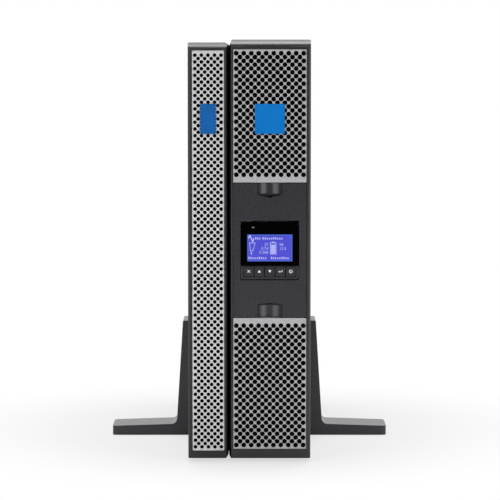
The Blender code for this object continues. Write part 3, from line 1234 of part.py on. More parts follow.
def build_module_case():
    """The battery module's case, cell packs, management board and battery socket."""
    left, right = MODULE_LEFT + CASE_INSET, MODULE_RIGHT - CASE_INSET
    lid_left = right - SHEET
    tray_right = lid_left - SEAT_GAP
    tray = Shape().box((left, CASE_FRONT, CASE_BOTTOM), (tray_right, CASE_BACK, MODULE_CASE_TOP))
    tray = tray.piece("module_tray", CASE_STEEL)
    inside_low = (left + SHEET, CASE_FRONT - CUT_PAST, CASE_BOTTOM + SHEET)
    inside_high = (tray_right + CUT_PAST, CASE_BACK - SHEET, MODULE_CASE_TOP - SHEET)
    cut(tray, Shape().box(inside_low, inside_high))
    up = rear_places()["socket"]
    middle = (left + tray_right) / 2
    hole_low = (middle - MODULE_SOCKET_WIDTH / 2 - SEAT_GAP, up - SOCKET_HEIGHT / 2 - SEAT_GAP)
    hole_high = (middle + MODULE_SOCKET_WIDTH / 2 + SEAT_GAP, up + SOCKET_HEIGHT / 2 + SEAT_GAP)
    through = (CASE_BACK - SHEET - CUT_PAST, CASE_BACK + CUT_PAST)
    cut(tray, Shape().prism(rectangle(hole_low, hole_high), "Y", *through))
    build_socket("module_battery_socket", middle, up, MODULE_SOCKET_WIDTH)
    lid = Shape().box((lid_left, CASE_FRONT, CASE_BOTTOM), (right, CASE_BACK, MODULE_CASE_TOP))
    lid.piece("module_lid", CASE_STEEL)
    build_cells(left + SHEET + SEAT_GAP, lid_left - SEAT_GAP)


def build_cells(left, right):
    """Two cell packs stacked in the battery module, with the management board at their back."""
    bottom = CASE_BOTTOM + SHEET + SEAT_GAP
    height = (MODULE_CASE_TOP - SHEET - SEAT_GAP - bottom - CELL_PACK_GAP) / 2
    front = CASE_FRONT + CELL_PACK_SET_BACK
    back = front + CELL_PACK_LENGTH
    for name, start in (("cell_pack_lower", bottom), ("cell_pack_upper", bottom + height + CELL_PACK_GAP)):
        pack = Shape().box((left, front, start), (right, back, start + height))
        pack.bevel_all(CELL_PACK_EDGE).piece(name, CELL_WRAP)
    middle = bottom + height + CELL_PACK_GAP / 2
    board_low = (MODULE_MID - BMS_WIDTH / 2, back + SEAT_GAP, middle - BMS_HEIGHT / 2)
    board_high = (MODULE_MID + BMS_WIDTH / 2, back + SEAT_GAP + BOARD_THICK, middle + BMS_HEIGHT / 2)
    Shape().box(board_low, board_high).piece("bms_board", BOARD_GREEN)


def main():
    """Clear the scene and build every piece."""
    for old in list(bpy.data.objects):
        bpy.data.objects.remove(old)
    build_stand()
    build_ups_front()
    build_display()
    build_ups_case()
    build_battery()
    build_power_board()
    build_rear()
    build_module_front()
    build_module_case()


main()
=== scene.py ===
"""Studio portrait of a rack UPS that stands as a tower.

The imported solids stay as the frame. Finer pieces, printed marks and finishes are modelled round them,
and each piece rides on the body that it belongs to.
"""
import logging
import math
from dataclasses import dataclass
from enum import Enum
from typing import Callable

import bmesh
import bpy
from mathutils import Matrix, Vector


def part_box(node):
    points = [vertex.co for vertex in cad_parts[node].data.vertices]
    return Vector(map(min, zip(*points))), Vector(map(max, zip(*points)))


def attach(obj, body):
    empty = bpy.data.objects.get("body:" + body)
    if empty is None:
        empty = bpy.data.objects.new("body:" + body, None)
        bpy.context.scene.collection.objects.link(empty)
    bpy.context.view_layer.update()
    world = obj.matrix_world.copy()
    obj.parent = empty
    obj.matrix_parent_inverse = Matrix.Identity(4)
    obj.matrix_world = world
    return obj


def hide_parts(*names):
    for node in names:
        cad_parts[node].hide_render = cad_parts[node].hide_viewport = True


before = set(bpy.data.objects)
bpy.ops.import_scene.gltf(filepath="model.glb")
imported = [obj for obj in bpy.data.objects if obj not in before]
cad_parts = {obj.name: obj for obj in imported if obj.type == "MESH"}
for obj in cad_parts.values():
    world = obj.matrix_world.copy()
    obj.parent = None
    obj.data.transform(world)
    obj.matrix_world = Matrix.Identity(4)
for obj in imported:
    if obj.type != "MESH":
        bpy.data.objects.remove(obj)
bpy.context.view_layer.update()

LOG = logging.getLogger("ups_portrait")
MM = 0.001
EPS = 0.05 * MM
Test = Callable[[Vector, Vector], bool]
Colour = tuple[float, float, float, float]


class Axis(Enum):
    """A line along which a rod, screw or slot points."""

    X = Vector((1.0, 0.0, 0.0))
    Y = Vector((0.0, 1.0, 0.0))
    Z = Vector((0.0, 0.0, 1.0))


class Part(Enum):
    """What a selection in edit mode is made of."""

    FACES = "FACE"
    EDGES = "EDGE"
    VERTS = "VERT"


class Body(Enum):
    """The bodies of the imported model."""

    CABINET = "cabinet"
    DISPLAY = "display"
    UPPER_COVER = "upper_cover"
    LOWER_COVER = "lower_cover"
    BADGE = "badge"
    UPPER_ROTOR = "upper_rotor"
    LOWER_ROTOR = "lower_rotor"
    RESET_BUTTON = "reset_button"


# Finishes


def srgb(code: str) -> Colour:
    """Turn an sRGB hex colour into linear values.

    Args:
        code: Six hex digits after a hash sign.

    Returns:
        Red, green, blue and alpha as Blender's sockets take them.
    """
    channels = [int(code[start:start + 2], 16) / 255 for start in (1, 3, 5)]
    linear = [c / 12.92 if c <= 0.04045 else ((c + 0.055) / 1.055) ** 2.4 for c in channels]
    return (linear[0], linear[1], linear[2], 1.0)


def add_node(tree: bpy.types.NodeTree, kind: str, settings: dict, links: dict) -> bpy.types.Node:
    """Add one node with its settings and links.

    Args:
        tree: Tree to add to.
        kind: Blender's name for the node.
        settings: Values by socket name or number, or by property name where the name is in small letters.
        links: Sockets to join, by this node's socket name or number.

    Returns:
        The new node.
    """
    made = tree.nodes.new(kind)
    for name, value in settings.items():
        if isinstance(name, int) or name[0].isupper():
            made.inputs[name].default_value = value
        else:
            setattr(made, name, value)
    for name, socket in links.items():
        tree.links.new(socket, made.inputs[name])
    return made


def per_mm(size_mm: float) -> float:
    """Give the texture scale that draws features of a size in millimetres."""
    return 1.0 / (size_mm * MM)


@dataclass(frozen=True)
class Finish:
    """A surface finish that is made into a material once."""

    name: str

    def material(self) -> bpy.types.Material:
        """Give the finish's material, and make it on first use."""
        found = bpy.data.materials.get(self.name)
        if found:
            return found
        made = bpy.data.materials.new(self.name)
        made.use_nodes = True
        tree = made.node_tree
        coords = add_node(tree, "ShaderNodeTexCoord", {}, {})
        self.dress(tree, tree.nodes["Principled BSDF"], coords.outputs["Object"])
        return made

    def dress(self, tree: bpy.types.NodeTree, shader: bpy.types.Node, place: bpy.types.NodeSocket) -> None:
        """Add the finish's own nodes.

        Args:
            tree: The material's tree.
            shader: Its Principled shader.
            place: Object coordinates in metres.
        """
        raise NotImplementedError


@dataclass(frozen=True)
class MouldedPlastic(Finish):
    """ABS or PBT from a spark-eroded mould: a fine even grain breaks up the gloss, and flow clouds drift in it."""

    deep: str
    pale: str
    roughness: float
    grain_mm: float = 0.55
    grain_depth_mm: float = 0.012
    cloud_mm: float = 70.0
    specular: float = 0.3

    def dress(self, tree: bpy.types.NodeTree, shader: bpy.types.Node, place: bpy.types.NodeSocket) -> None:
        """Add the grain, clouds and gloss. Real grain is about 0.1 mm; it is drawn coarser so that it shows."""
        grain = add_node(tree, "ShaderNodeTexNoise", {"Scale": per_mm(self.grain_mm), "Detail": 3.0},
                         {"Vector": place})
        cloud = add_node(tree, "ShaderNodeTexNoise", {"Scale": per_mm(self.cloud_mm), "Detail": 4.0},
                         {"Vector": place})
        speck = add_node(tree, "ShaderNodeMath", {"operation": "MULTIPLY", 1: 0.45}, {0: grain.outputs[0]})
        blend = add_node(tree, "ShaderNodeMath", {"operation": "MULTIPLY_ADD", 1: 0.55},
                         {0: cloud.outputs[0], 2: speck.outputs[0]})
        colour = add_node(tree, "ShaderNodeMix", {"data_type": "RGBA", 6: srgb(self.deep), 7: srgb(self.pale)},
                          {0: blend.outputs[0]})
        gloss = add_node(tree, "ShaderNodeMapRange",
                         {"From Min": 0.25, "From Max": 0.75,
                          "To Min": self.roughness - 0.06, "To Max": self.roughness + 0.06},
                         {"Value": grain.outputs[0]})
        relief = add_node(tree, "ShaderNodeBump", {"Strength": 0.35, "Distance": self.grain_depth_mm * MM},
                          {"Height": grain.outputs[0]})
        shader.inputs["IOR"].default_value = 1.53
        shader.inputs["Specular IOR Level"].default_value = self.specular
        tree.links.new(colour.outputs[2], shader.inputs["Base Color"])
        tree.links.new(gloss.outputs[0], shader.inputs["Roughness"])
        tree.links.new(relief.outputs[0], shader.inputs["Normal"])


@dataclass(frozen=True)
class SprayedSteel(Finish):
    """Steel sheet with powder coat or metallic paint: orange peel in the gloss, and flakes that vary the colour."""

    deep: str
    pale: str
    roughness: float
    metallic: float
    peel_mm: float = 1.6
    flake_mm: float = 0.5
    peel_depth_mm: float = 0.01

    def dress(self, tree: bpy.types.NodeTree, shader: bpy.types.Node, place: bpy.types.NodeSocket) -> None:
        """Add the peel and the flakes. Real flakes are about 0.05 mm; they are drawn coarser so that they show."""
        peel = add_node(tree, "ShaderNodeTexNoise", {"Scale": per_mm(self.peel_mm), "Detail": 2.0}, {"Vector": place})
        flake = add_node(tree, "ShaderNodeTexVoronoi", {"Scale": per_mm(self.flake_mm)}, {"Vector": place})
        glint = add_node(tree, "ShaderNodeSeparateColor", {}, {"Color": flake.outputs["Color"]})
        colour = add_node(tree, "ShaderNodeMix", {"data_type": "RGBA", 6: srgb(self.deep), 7: srgb(self.pale)},
                          {0: glint.outputs[0]})
        gloss = add_node(tree, "ShaderNodeMapRange", {"From Min": 0.2, "From Max": 0.8,
                                                      "To Min": self.roughness - 0.07, "To Max": self.roughness + 0.07},
                         {"Value": peel.outputs[0]})
        relief = add_node(tree, "ShaderNodeBump", {"Strength": 0.3, "Distance": self.peel_depth_mm * MM},
                          {"Height": peel.outputs[0]})
        shader.inputs["Metallic"].default_value = self.metallic
        tree.links.new(colour.outputs[2], shader.inputs["Base Color"])
        tree.links.new(gloss.outputs[0], shader.inputs["Roughness"])
        tree.links.new(relief.outputs[0], shader.inputs["Normal"])


@dataclass(frozen=True)
class PolishedPlastic(Finish):
    """Acrylic or polycarbonate with a polished skin: a sharp gloss that faint wiping marks dull here and there."""

    deep: str
    pale: str
    roughness: float
    smear_mm: float = 14.0
    specular: float = 0.4

    def dress(self, tree: bpy.types.NodeTree, shader: bpy.types.Node, place: bpy.types.NodeSocket) -> None:
        """Add the wiping marks and a slight drift of colour."""
        smear = add_node(tree, "ShaderNodeTexNoise",
                         {"Scale": per_mm(self.smear_mm), "Detail": 5.0, "Distortion": 1.2}, {"Vector": place})
        colour = add_node(tree, "ShaderNodeMix", {"data_type": "RGBA", 6: srgb(self.deep), 7: srgb(self.pale)},
                          {0: smear.outputs[0]})
        gloss = add_node(tree, "ShaderNodeMapRange",
                         {"From Min": 0.35, "From Max": 0.75,
                          "To Min": self.roughness, "To Max": self.roughness + 0.1},
                         {"Value": smear.outputs[0]})
        shader.inputs["IOR"].default_value = 1.49
        shader.inputs["Specular IOR Level"].default_value = self.specular
        tree.links.new(colour.outputs[2], shader.inputs["Base Color"])
        tree.links.new(gloss.outputs[0], shader.inputs["Roughness"])


@dataclass(frozen=True)
class LitScreen(Finish):
    """A backlit dot-matrix LCD: an even glow, broken by the fine dark grid between its dots."""

    dot: str
    grid: str
    glow: float
    dot_mm: float = 0.75

    def dress(self, tree: bpy.types.NodeTree, shader: bpy.types.Node, place: bpy.types.NodeSocket) -> None:
        """Add the dots and their light. Real dots are about 0.35 mm; they are drawn coarser so that they show."""
        turned = add_node(tree, "ShaderNodeMapping", {"Rotation": (math.radians(90.0), 0.0, 0.0)}, {"Vector": place})
        dots = add_node(tree, "ShaderNodeTexBrick", {"offset": 0.0, "squash": 1.0, "Color1": srgb(self.dot),
                                                     "Color2": srgb(self.dot), "Mortar": srgb(self.grid),
                                                     "Scale": per_mm(self.dot_mm), "Mortar Size": 0.06,
                                                     "Mortar Smooth": 0.4, "Brick Width": 1.0, "Row Height": 1.0},
                        {"Vector": turned.outputs[0]})
        shader.inputs["Roughness"].default_value = 0.3
        shader.inputs["Emission Strength"].default_value = self.glow
        shader.inputs["Base Color"].default_value = srgb("#101020")
        tree.links.new(dots.outputs["Color"], shader.inputs["Emission Color"])


@dataclass(frozen=True)
class DrawnMetal(Finish):
    """Plated steel or extruded aluminium: fine streaks along the rolling direction stretch its highlights."""

    deep: str
    pale: str
    roughness: float
    streak: tuple[float, float, float]

    def dress(self, tree: bpy.types.NodeTree, shader: bpy.types.Node, place: bpy.types.NodeSocket) -> None:
        """Add the streaks, as sizes in millimetres along X, Y and Z."""
        scale = tuple(per_mm(size) for size in self.streak)
        grain = add_node(tree, "ShaderNodeMapping", {"Scale": scale}, {"Vector": place})
        lines = add_node(tree, "ShaderNodeTexNoise", {"Scale": 1.0, "Detail": 4.0}, {"Vector": grain.outputs[0]})
        colour = add_node(tree, "ShaderNodeMix", {"data_type": "RGBA", 6: srgb(self.deep), 7: srgb(self.pale)},
                          {0: lines.outputs[0]})
        gloss = add_node(tree, "ShaderNodeMapRange", {"From Min": 0.3, "From Max": 0.7,
                                                      "To Min": self.roughness - 0.08, "To Max": self.roughness + 0.1},
                         {"Value": lines.outputs[0]})
        relief = add_node(tree, "ShaderNodeBump", {"Strength": 0.15, "Distance": 0.01 * MM}, {"Height": lines.outputs[0]})
        shader.inputs["Metallic"].default_value = 1.0
        tree.links.new(colour.outputs[2], shader.inputs["Base Color"])
        tree.links.new(gloss.outputs[0], shader.inputs["Roughness"])
        tree.links.new(relief.outputs[0], shader.inputs["Normal"])


@dataclass(frozen=True)
class CircuitBoard(Finish):
    """Glass-fibre board under solder mask: copper tracks show as paler green lines that step across the board."""

    mask: str
    track: str
    track_mm: float = 9.0

    def dress(self, tree: bpy.types.NodeTree, shader: bpy.types.Node, place: bpy.types.NodeSocket) -> None:
        """Add the tracks as the joints of an uneven brick pattern."""
        turned = add_node(tree, "ShaderNodeMapping", {"Rotation": (0.9, 0.4, 0.6)}, {"Vector": place})
        tracks = add_node(tree, "ShaderNodeTexBrick", {"Color1": srgb(self.mask), "Color2": srgb(self.mask),
                                                       "Mortar": srgb(self.track), "Scale": per_mm(self.track_mm),
                                                       "Mortar Size": 0.035, "Mortar Smooth": 0.1},
                          {"Vector": turned.outputs[0]})
        relief = add_node(tree, "ShaderNodeBump", {"Strength": 0.4, "Distance": 0.035 * MM}, {"Height": tracks.outputs["Fac"]})
        shader.inputs["Roughness"].default_value = 0.38
        tree.links.new(tracks.outputs["Color"], shader.inputs["Base Color"])
        tree.links.new(relief.outputs[0], shader.inputs["Normal"])


@dataclass(frozen=True)
class OpenFoam(Finish):
    """Reticulated foam of an air filter: black strands round open cells, which are painted darker still as the shade in
    their depth.
    """

    strand: str
    cell_shade: str
    cell_mm: float = 1.4

    def dress(self, tree: bpy.types.NodeTree, shader: bpy.types.Node, place: bpy.types.NodeSocket) -> None:
        """Add the cells, whose near-black colour is painted shade in the foam's open depth."""
        cells = add_node(tree, "ShaderNodeTexVoronoi", {"feature": "DISTANCE_TO_EDGE", "Scale": per_mm(self.cell_mm)},
                         {"Vector": place})
        open_part = add_node(tree, "ShaderNodeMapRange", {"From Min": 0.05, "From Max": 0.25}, {"Value": cells.outputs[0]})
        # The open cells get the near-black second colour: painted shade where the foam is open and deep.
        colour = add_node(tree, "ShaderNodeMix", {"data_type": "RGBA", 6: srgb(self.strand), 7: srgb(self.cell_shade)},
                          {0: open_part.outputs[0]})
        relief = add_node(tree, "ShaderNodeBump", {"invert": True, "Strength": 0.9, "Distance": 0.5 * MM},
                          {"Height": open_part.outputs[0]})
        shader.inputs["Roughness"].default_value = 0.95
        shader.inputs["Specular IOR Level"].default_value = 0.03
        tree.links.new(colour.outputs[2], shader.inputs["Base Color"])
        tree.links.new(relief.outputs[0], shader.inputs["Normal"])


@dataclass(frozen=True)
class WoundWire(Finish):
    """Enamelled copper wire wound on a core: ridges of wire with dark joints between the turns."""

    wire: str
    joint: str
    wire_mm: float = 2.2

    def dress(self, tree: bpy.types.NodeTree, shader: bpy.types.Node, place: bpy.types.NodeSocket) -> None:
        """Add the turns."""
        turns = add_node(tree, "ShaderNodeTexWave", {"bands_direction": "Z", "Scale": per_mm(self.wire_mm) / 6.3,
                                                     "Distortion": 0.4}, {"Vector": place})
        colour = add_node(tree, "ShaderNodeMix", {"data_type": "RGBA", 6: srgb(self.joint), 7: srgb(self.wire)},
                          {0: turns.outputs["Fac"]})
        relief = add_node(tree, "ShaderNodeBump", {"Strength": 0.8, "Distance": 0.4 * MM}, {"Height": turns.outputs["Fac"]})
        shader.inputs["Roughness"].default_value = 0.32
        shader.inputs["Metallic"].default_value = 0.6
        tree.links.new(colour.outputs[2], shader.inputs["Base Color"])
        tree.links.new(relief.outputs[0], shader.inputs["Normal"])


CHARCOAL_ABS = MouldedPlastic("moulded_charcoal_abs", "#141417", "#201F23", 0.42, specular=0.5)
FRAME_ABS = MouldedPlastic("moulded_frame_abs", "#0E0E11", "#1A191D", 0.4, specular=0.7)
COVER_ABS = MouldedPlastic("moulded_cover_abs", "#25252A", "#333238", 0.27, specular=0.5)
FOOT_ABS = MouldedPlastic("moulded_foot_abs", "#29292D", "#37363B", 0.28, grain_mm=0.8, specular=0.5)
KEY_RUBBER = MouldedPlastic("moulded_key_rubber", "#232226", "#2E2D31", 0.55)
SOCKET_BLACK = MouldedPlastic("moulded_black_pbt", "#17171A", "#232327", 0.4)
SOCKET_GREY = MouldedPlastic("moulded_grey_pbt", "#626267", "#75757A", 0.42)
FAN_BLACK = MouldedPlastic("moulded_fan_pbt", "#1B1B1E", "#29292D", 0.38)
PACK_GREY = MouldedPlastic("moulded_battery_case", "#4A4B50", "#595A60", 0.5)
PAD_RUBBER = MouldedPlastic("moulded_pad_rubber", "#161616", "#222222", 0.75, grain_mm=1.0)
CELL_WRAP = PolishedPlastic("shrunk_cell_wrap", "#1B3A6B", "#28508C", 0.28)
CAN_SLEEVE = PolishedPlastic("shrunk_capacitor_sleeve", "#131316", "#1F1F24", 0.25)
# An anti-glare coat on the window takes most of its gloss away, so that it stays black beside the lit screen.
WINDOW_BLACK = PolishedPlastic("coated_black_acrylic", "#010102", "#030304", 0.06, specular=0.03)
BADGE_BLUE = PolishedPlastic("satin_blue_polycarbonate", "#006EC0", "#0578C9", 0.36, specular=0.15)
MODULE_BLUE = PolishedPlastic("satin_deep_blue_polycarbonate", "#0C589F", "#1463AB", 0.36, specular=0.15)
LIGHT_PIPE = PolishedPlastic("clear_light_pipe", "#546062", "#707D7F", 0.2)
PRINT_WHITE = MouldedPlastic("printed_white_ink", "#F0F0F2", "#FFFFFF", 0.5)
GRILLE_SILVER = SprayedSteel("silver_paint_on_steel", "#A8A8AA", "#C4C4C6", 0.42, 0.25)
MODULE_SILVER = SprayedSteel("pale_silver_paint_on_steel", "#C8C8C9", "#E0E0E1", 0.42, 0.25)
CASE_BLACK = SprayedSteel("powder_coated_steel", "#232326", "#2E2E32", 0.5, 0.0, peel_mm=1.2)
SCREEN_BLUE = LitScreen("backlit_blue_lcd", "#504FDE", "#3C3CB6", 0.9)
SCREEN_EDGE = LitScreen("backlit_lcd_edge", "#4468D2", "#3C5CC0", 0.9)
SCREEN_MARK = LitScreen("backlit_lcd_marks", "#BEC0FF", "#AEB0F4", 0.95)
PLATED_STEEL = DrawnMetal("zinc_plated_steel", "#B9BABD", "#D2D3D5", 0.34, (0.4, 0.4, 14.0))
SCREW_STEEL = DrawnMetal("nickel_plated_screws", "#A9A9AC", "#C9C9CC", 0.26, (0.6, 0.6, 0.6))
GUARD_CHROME = DrawnMetal("chromed_wire", "#C9CACC", "#E2E3E4", 0.16, (3.0, 3.0, 3.0))
SINK_ALUMINIUM = DrawnMetal("extruded_aluminium", "#B9BABD", "#D6D7D9", 0.36, (0.5, 30.0, 0.5))
CORE_STEEL = DrawnMetal("laminated_core_steel", "#4A4A4D", "#6A6A6D", 0.5, (0.7, 60.0, 60.0))
BOARD_GREEN = CircuitBoard("green_circuit_board", "#14502C", "#2A7444")
# The second colour, for the open cells, is painted shade in the foam's depth.
FILTER_FOAM = OpenFoam("black_filter_foam", "#0A0A0B", "#010101")
COPPER_WIRE = WoundWire("wound_copper_wire", "#B5652F", "#4A2410")

CAD_FINISHES: dict[Finish, tuple[str, ...]] = {
    CASE_BLACK: ("ups_front_bulkhead",),
    PLATED_STEEL: ("battery_tray", "display_hinge_pin"),
    SINK_ALUMINIUM: ("rectifier_heatsink", "inverter_heatsink"),
    BOARD_GREEN: ("power_board", "control_board", "bms_board", "display_board"),
    COPPER_WIRE: ("boost_inductor",),
    CORE_STEEL: ("output_transformer",),
    CAN_SLEEVE: ("bulk_capacitor_lower", "bulk_capacitor_upper"),
    PACK_GREY: ("battery_pack",),
    CELL_WRAP: ("cell_pack_lower", "cell_pack_upper"),
}


# Modelling tools


def deselect() -> None:
    """Leave nothing selected."""
    bpy.ops.object.select_all(action="DESELECT")


def take(obj: bpy.types.Object) -> None:
    """Select one object alone and make it active."""
    deselect()
    obj.select_set(True)
    bpy.context.view_layer.objects.active = obj


def settle(name: str) -> bpy.types.Object:
    """Name the active object, and move its place, turn and size into its mesh.

    Args:
        name: Name for the object and its mesh.

    Returns:
        The object, at the origin.
    """
    obj = bpy.context.object
    obj.name = name
    obj.data.name = name
    bpy.ops.object.transform_apply(location=True, rotation=True, scale=True)
    return obj


def block(name: str, low: Vector, high: Vector) -> bpy.types.Object:
    """Add a cube and size it to fill a box.

    Args:
        name: Name for the object.
        low: Lowest corner.
        high: Highest corner.

    Returns:
        The new object.
    """
    deselect()
    bpy.ops.mesh.primitive_cube_add(size=1.0, location=(Vector(low) + Vector(high)) / 2)
    bpy.context.object.scale = Vector(high) - Vector(low)
    return settle(name)


def rod(name: str, centre: Vector, radius: float, length: float, axis: Axis, sides: int = 48) -> bpy.types.Object:
    """Add a cylinder along an axis.

    Args:
        name: Name for the object.
        centre: Middle of the cylinder.
        radius: Radius.
        length: Length along the axis.
        axis: Direction of the cylinder.
        sides: Number of sides.

    Returns:
        The new object.
    """
    deselect()
    turn = Axis.Z.value.rotation_difference(axis.value).to_euler()
    bpy.ops.mesh.primitive_cylinder_add(vertices=sides, radius=radius, depth=length, location=centre, rotation=turn)
    return settle(name)


def pick(obj: bpy.types.Object, part: Part, test: Test) -> None:
    """Open an object in edit mode with the faces, edges or corners selected that pass a test.

    Args:
        obj: Object to open.
        part: What to select.
        test: Takes the middle, and the normal of a face or corner or the direction of an edge.
    """
    take(obj)
    bpy.ops.object.mode_set(mode="EDIT")
    bpy.ops.mesh.select_mode(type=part.value)
    bpy.ops.mesh.select_all(action="DESELECT")
    mesh = bmesh.from_edit_mesh(obj.data)
    mesh.normal_update()
    if part is Part.FACES:
        for face in mesh.faces:
            face.select_set(test(face.calc_center_median(), face.normal))
    elif part is Part.EDGES:
        for edge in mesh.edges:
            first, second = (corner.co for corner in edge.verts)
            edge.select_set(test((first + second) / 2, (second - first).normalized()))
    else:
        for corner in mesh.verts:
            corner.select_set(test(corner.co, corner.normal))
    mesh.select_flush_mode()
    bmesh.update_edit_mesh(obj.data)


def done() -> None:
    """Leave edit mode."""
    bpy.ops.object.mode_set(mode="OBJECT")


def bevel(obj: bpy.types.Object, test: Test, width: float, segments: int) -> bpy.types.Object:
    """Round the edges that pass a test.

    Args:
        obj: Object to round.
        test: Takes an edge's middle and direction.
        width: Width of the rounding on each face.
        segments: Number of facets.

    Returns:
        The object.
    """
    pick(obj, Part.EDGES, test)
    bpy.ops.mesh.bevel(offset=width, segments=segments, affect="EDGES")
    done()
    return obj


def extrude(obj: bpy.types.Object, test: Test, shift: Vector, inset: float = 0.0) -> bpy.types.Object:
    """Draw out the faces that pass a test, after insetting them where a width is given.

    Args:
        obj: Object to shape.
        test: Takes a face's middle and normal.
        shift: How far and which way the faces move.
        inset: Width left round the faces.

    Returns:
        The object.
    """
    pick(obj, Part.FACES, test)
    if inset:
        bpy.ops.mesh.inset(thickness=inset, depth=0.0)
    bpy.ops.mesh.extrude_region_move(TRANSFORM_OT_translate={"value": shift})
    done()
    return obj


def nudge(obj: bpy.types.Object, test: Test, shift: Vector) -> bpy.types.Object:
    """Move the corners that pass a test.

    Args:
        obj: Object to shape.
        test: Takes a corner's place and normal.
        shift: How far and which way they move.

    Returns:
        The object.
    """
    pick(obj, Part.VERTS, test)
    bpy.ops.transform.translate(value=shift)
    done()
    return obj


def slice_off(obj: bpy.types.Object, point: Vector, normal: Vector) -> bpy.types.Object:
    """Cut an object with a plane, drop what lies on the normal's side and close the cut.

    Args:
        obj: Object to cut.
        point: A point on the plane.
        normal: The plane's normal.

    Returns:
        The object.
    """
    pick(obj, Part.FACES, lambda mid, way: True)
    bpy.ops.mesh.bisect(plane_co=point, plane_no=Vector(normal).normalized(), threshold=0.001 * MM,
                        use_fill=True, clear_outer=True)
    done()
    return obj


def apply_modifier(obj: bpy.types.Object, kind: str, settings: dict) -> bpy.types.Object:
    """Add a modifier with its settings and apply it.

    Args:
        obj: Object to change.
        kind: Blender's name for the modifier.
        settings: Its properties by name.

    Returns:
        The object.
    """
    take(obj)
    modifier = obj.modifiers.new(kind.title(), kind)
    for name, value in settings.items():
        setattr(modifier, name, value)
    bpy.ops.object.modifier_apply(modifier=modifier.name)
    return obj


def combine(obj: bpy.types.Object, tools: list[bpy.types.Object], operation: str,
            solver: str = "EXACT") -> bpy.types.Object:
    """Cut an object with tools, add them to it or keep what they share, and drop the tools.

    Args:
        obj: Object to change.
        tools: Objects to use up.
        operation: DIFFERENCE, UNION or INTERSECT.
        solver: EXACT, or MANIFOLD for a tool of hundreds of closed shapes.

    Returns:
        The object.
    """
    for tool in tools:
        apply_modifier(obj, "BOOLEAN", {"object": tool, "operation": operation, "solver": solver})
        bpy.data.objects.remove(tool)
    return obj


def cut(obj: bpy.types.Object, *tools: bpy.types.Object) -> bpy.types.Object:
    """Remove tools' shapes from an object."""
    return combine(obj, list(tools), "DIFFERENCE")


def soften(obj: bpy.types.Object, width: float, segments: int = 2, degrees: float = 40.0) -> bpy.types.Object:
    """Round every sharp edge slightly, then shade the object smooth.

    Args:
        obj: Object to finish.
        width: Width of the rounding.
        segments: Number of facets.
        degrees: Edges sharper than this are rounded.

    Returns:
        The object.
    """
    apply_modifier(obj, "BEVEL", {"width": width, "segments": segments, "limit_method": "ANGLE",
                                  "angle_limit": math.radians(degrees), "use_clamp_overlap": True})
    return smooth(obj)


def smooth(obj: bpy.types.Object) -> bpy.types.Object:
    """Shade an object smooth across its rounded edges, with its large faces kept flat."""
    take(obj)
    bpy.ops.object.shade_smooth_by_angle(angle=math.radians(48.0))
    return apply_modifier(obj, "WEIGHTED_NORMAL", {"weight": 100, "keep_sharp": True})


def row(obj: bpy.types.Object, count: int, step: Vector) -> bpy.types.Object:
    """Repeat an object's mesh along a line."""
    return apply_modifier(obj, "ARRAY", {"count": count, "use_relative_offset": False, "use_constant_offset": True,
                                         "constant_offset_displace": step})


def copy_of(obj: bpy.types.Object, name: str, shift: Vector) -> bpy.types.Object:
    """Copy an object with its own mesh and move the copy.

    Args:
        obj: Object to copy.
        name: Name for the copy.
        shift: How far and which way the copy moves.

    Returns:
        The copy.
    """
    take(obj)
    bpy.ops.object.duplicate_move(TRANSFORM_OT_translate={"value": shift})
    return settle(name)


def join(name: str, objs: list[bpy.types.Object]) -> bpy.types.Object:
    """Join separate objects into one.

    Args:
        name: Name for the result.
        objs: Objects to join.

    Returns:
        The joined object.
    """
    take(objs[0])
    for obj in objs:
        obj.select_set(True)
    if len(objs) > 1:
        bpy.ops.object.join()
    return settle(name)


def turned(obj: bpy.types.Object, angle: float, axis: Axis, centre: Vector) -> bpy.types.Object:
    """Turn an object about a line through a point, in its mesh."""
    take(obj)
    centre = Vector(centre)
    obj.matrix_world = Matrix.Translation(centre) @ Matrix.Rotation(angle, 4, axis.value) @ Matrix.Translation(-centre)
    return settle(obj.name)


def refined(node: str, width: float) -> bpy.types.Object:
    """Copy a CAD solid, merge its loose triangles into faces and round its edges.

    Args:
        node: Name of the CAD node.
        width: Width of the rounding.

    Returns:
        The finer copy.
    """
    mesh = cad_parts[node].data.copy()
    mesh.materials.clear()
    obj = bpy.data.objects.new(f"{node}_piece", mesh)
    bpy.context.scene.collection.objects.link(obj)
    pick(obj, Part.FACES, lambda mid, normal: True)
    bpy.ops.mesh.remove_doubles(threshold=0.002 * MM)
    bpy.ops.mesh.dissolve_limited(angle_limit=math.radians(1.0))
    done()
    return soften(obj, width)


def present(obj: bpy.types.Object, finish: Finish, body: Body | str,
            nodes: tuple[str, ...] = ()) -> bpy.types.Object:
    """Give a modelled piece its finish and put it on its body.

    Args:
        obj: The piece.
        finish: Its surface.
        body: The body that it rides on.
        nodes: CAD nodes that it stands for.

    Returns:
        The piece.
    """
    obj.data.materials.clear()
    obj.data.materials.append(finish.material())
    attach(obj, body.value if isinstance(body, Body) else body)
    if nodes:
        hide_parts(*nodes)
    LOG.info("%s: %s, %d faces", obj.name, finish.name, len(obj.data.polygons))
    return obj


def around(point: Vector, half: Vector) -> tuple[Vector, Vector]:
    """Give the corners of a box about a point from its half sizes."""
    return Vector(point) - Vector(half), Vector(point) + Vector(half)


# Sub-assemblies


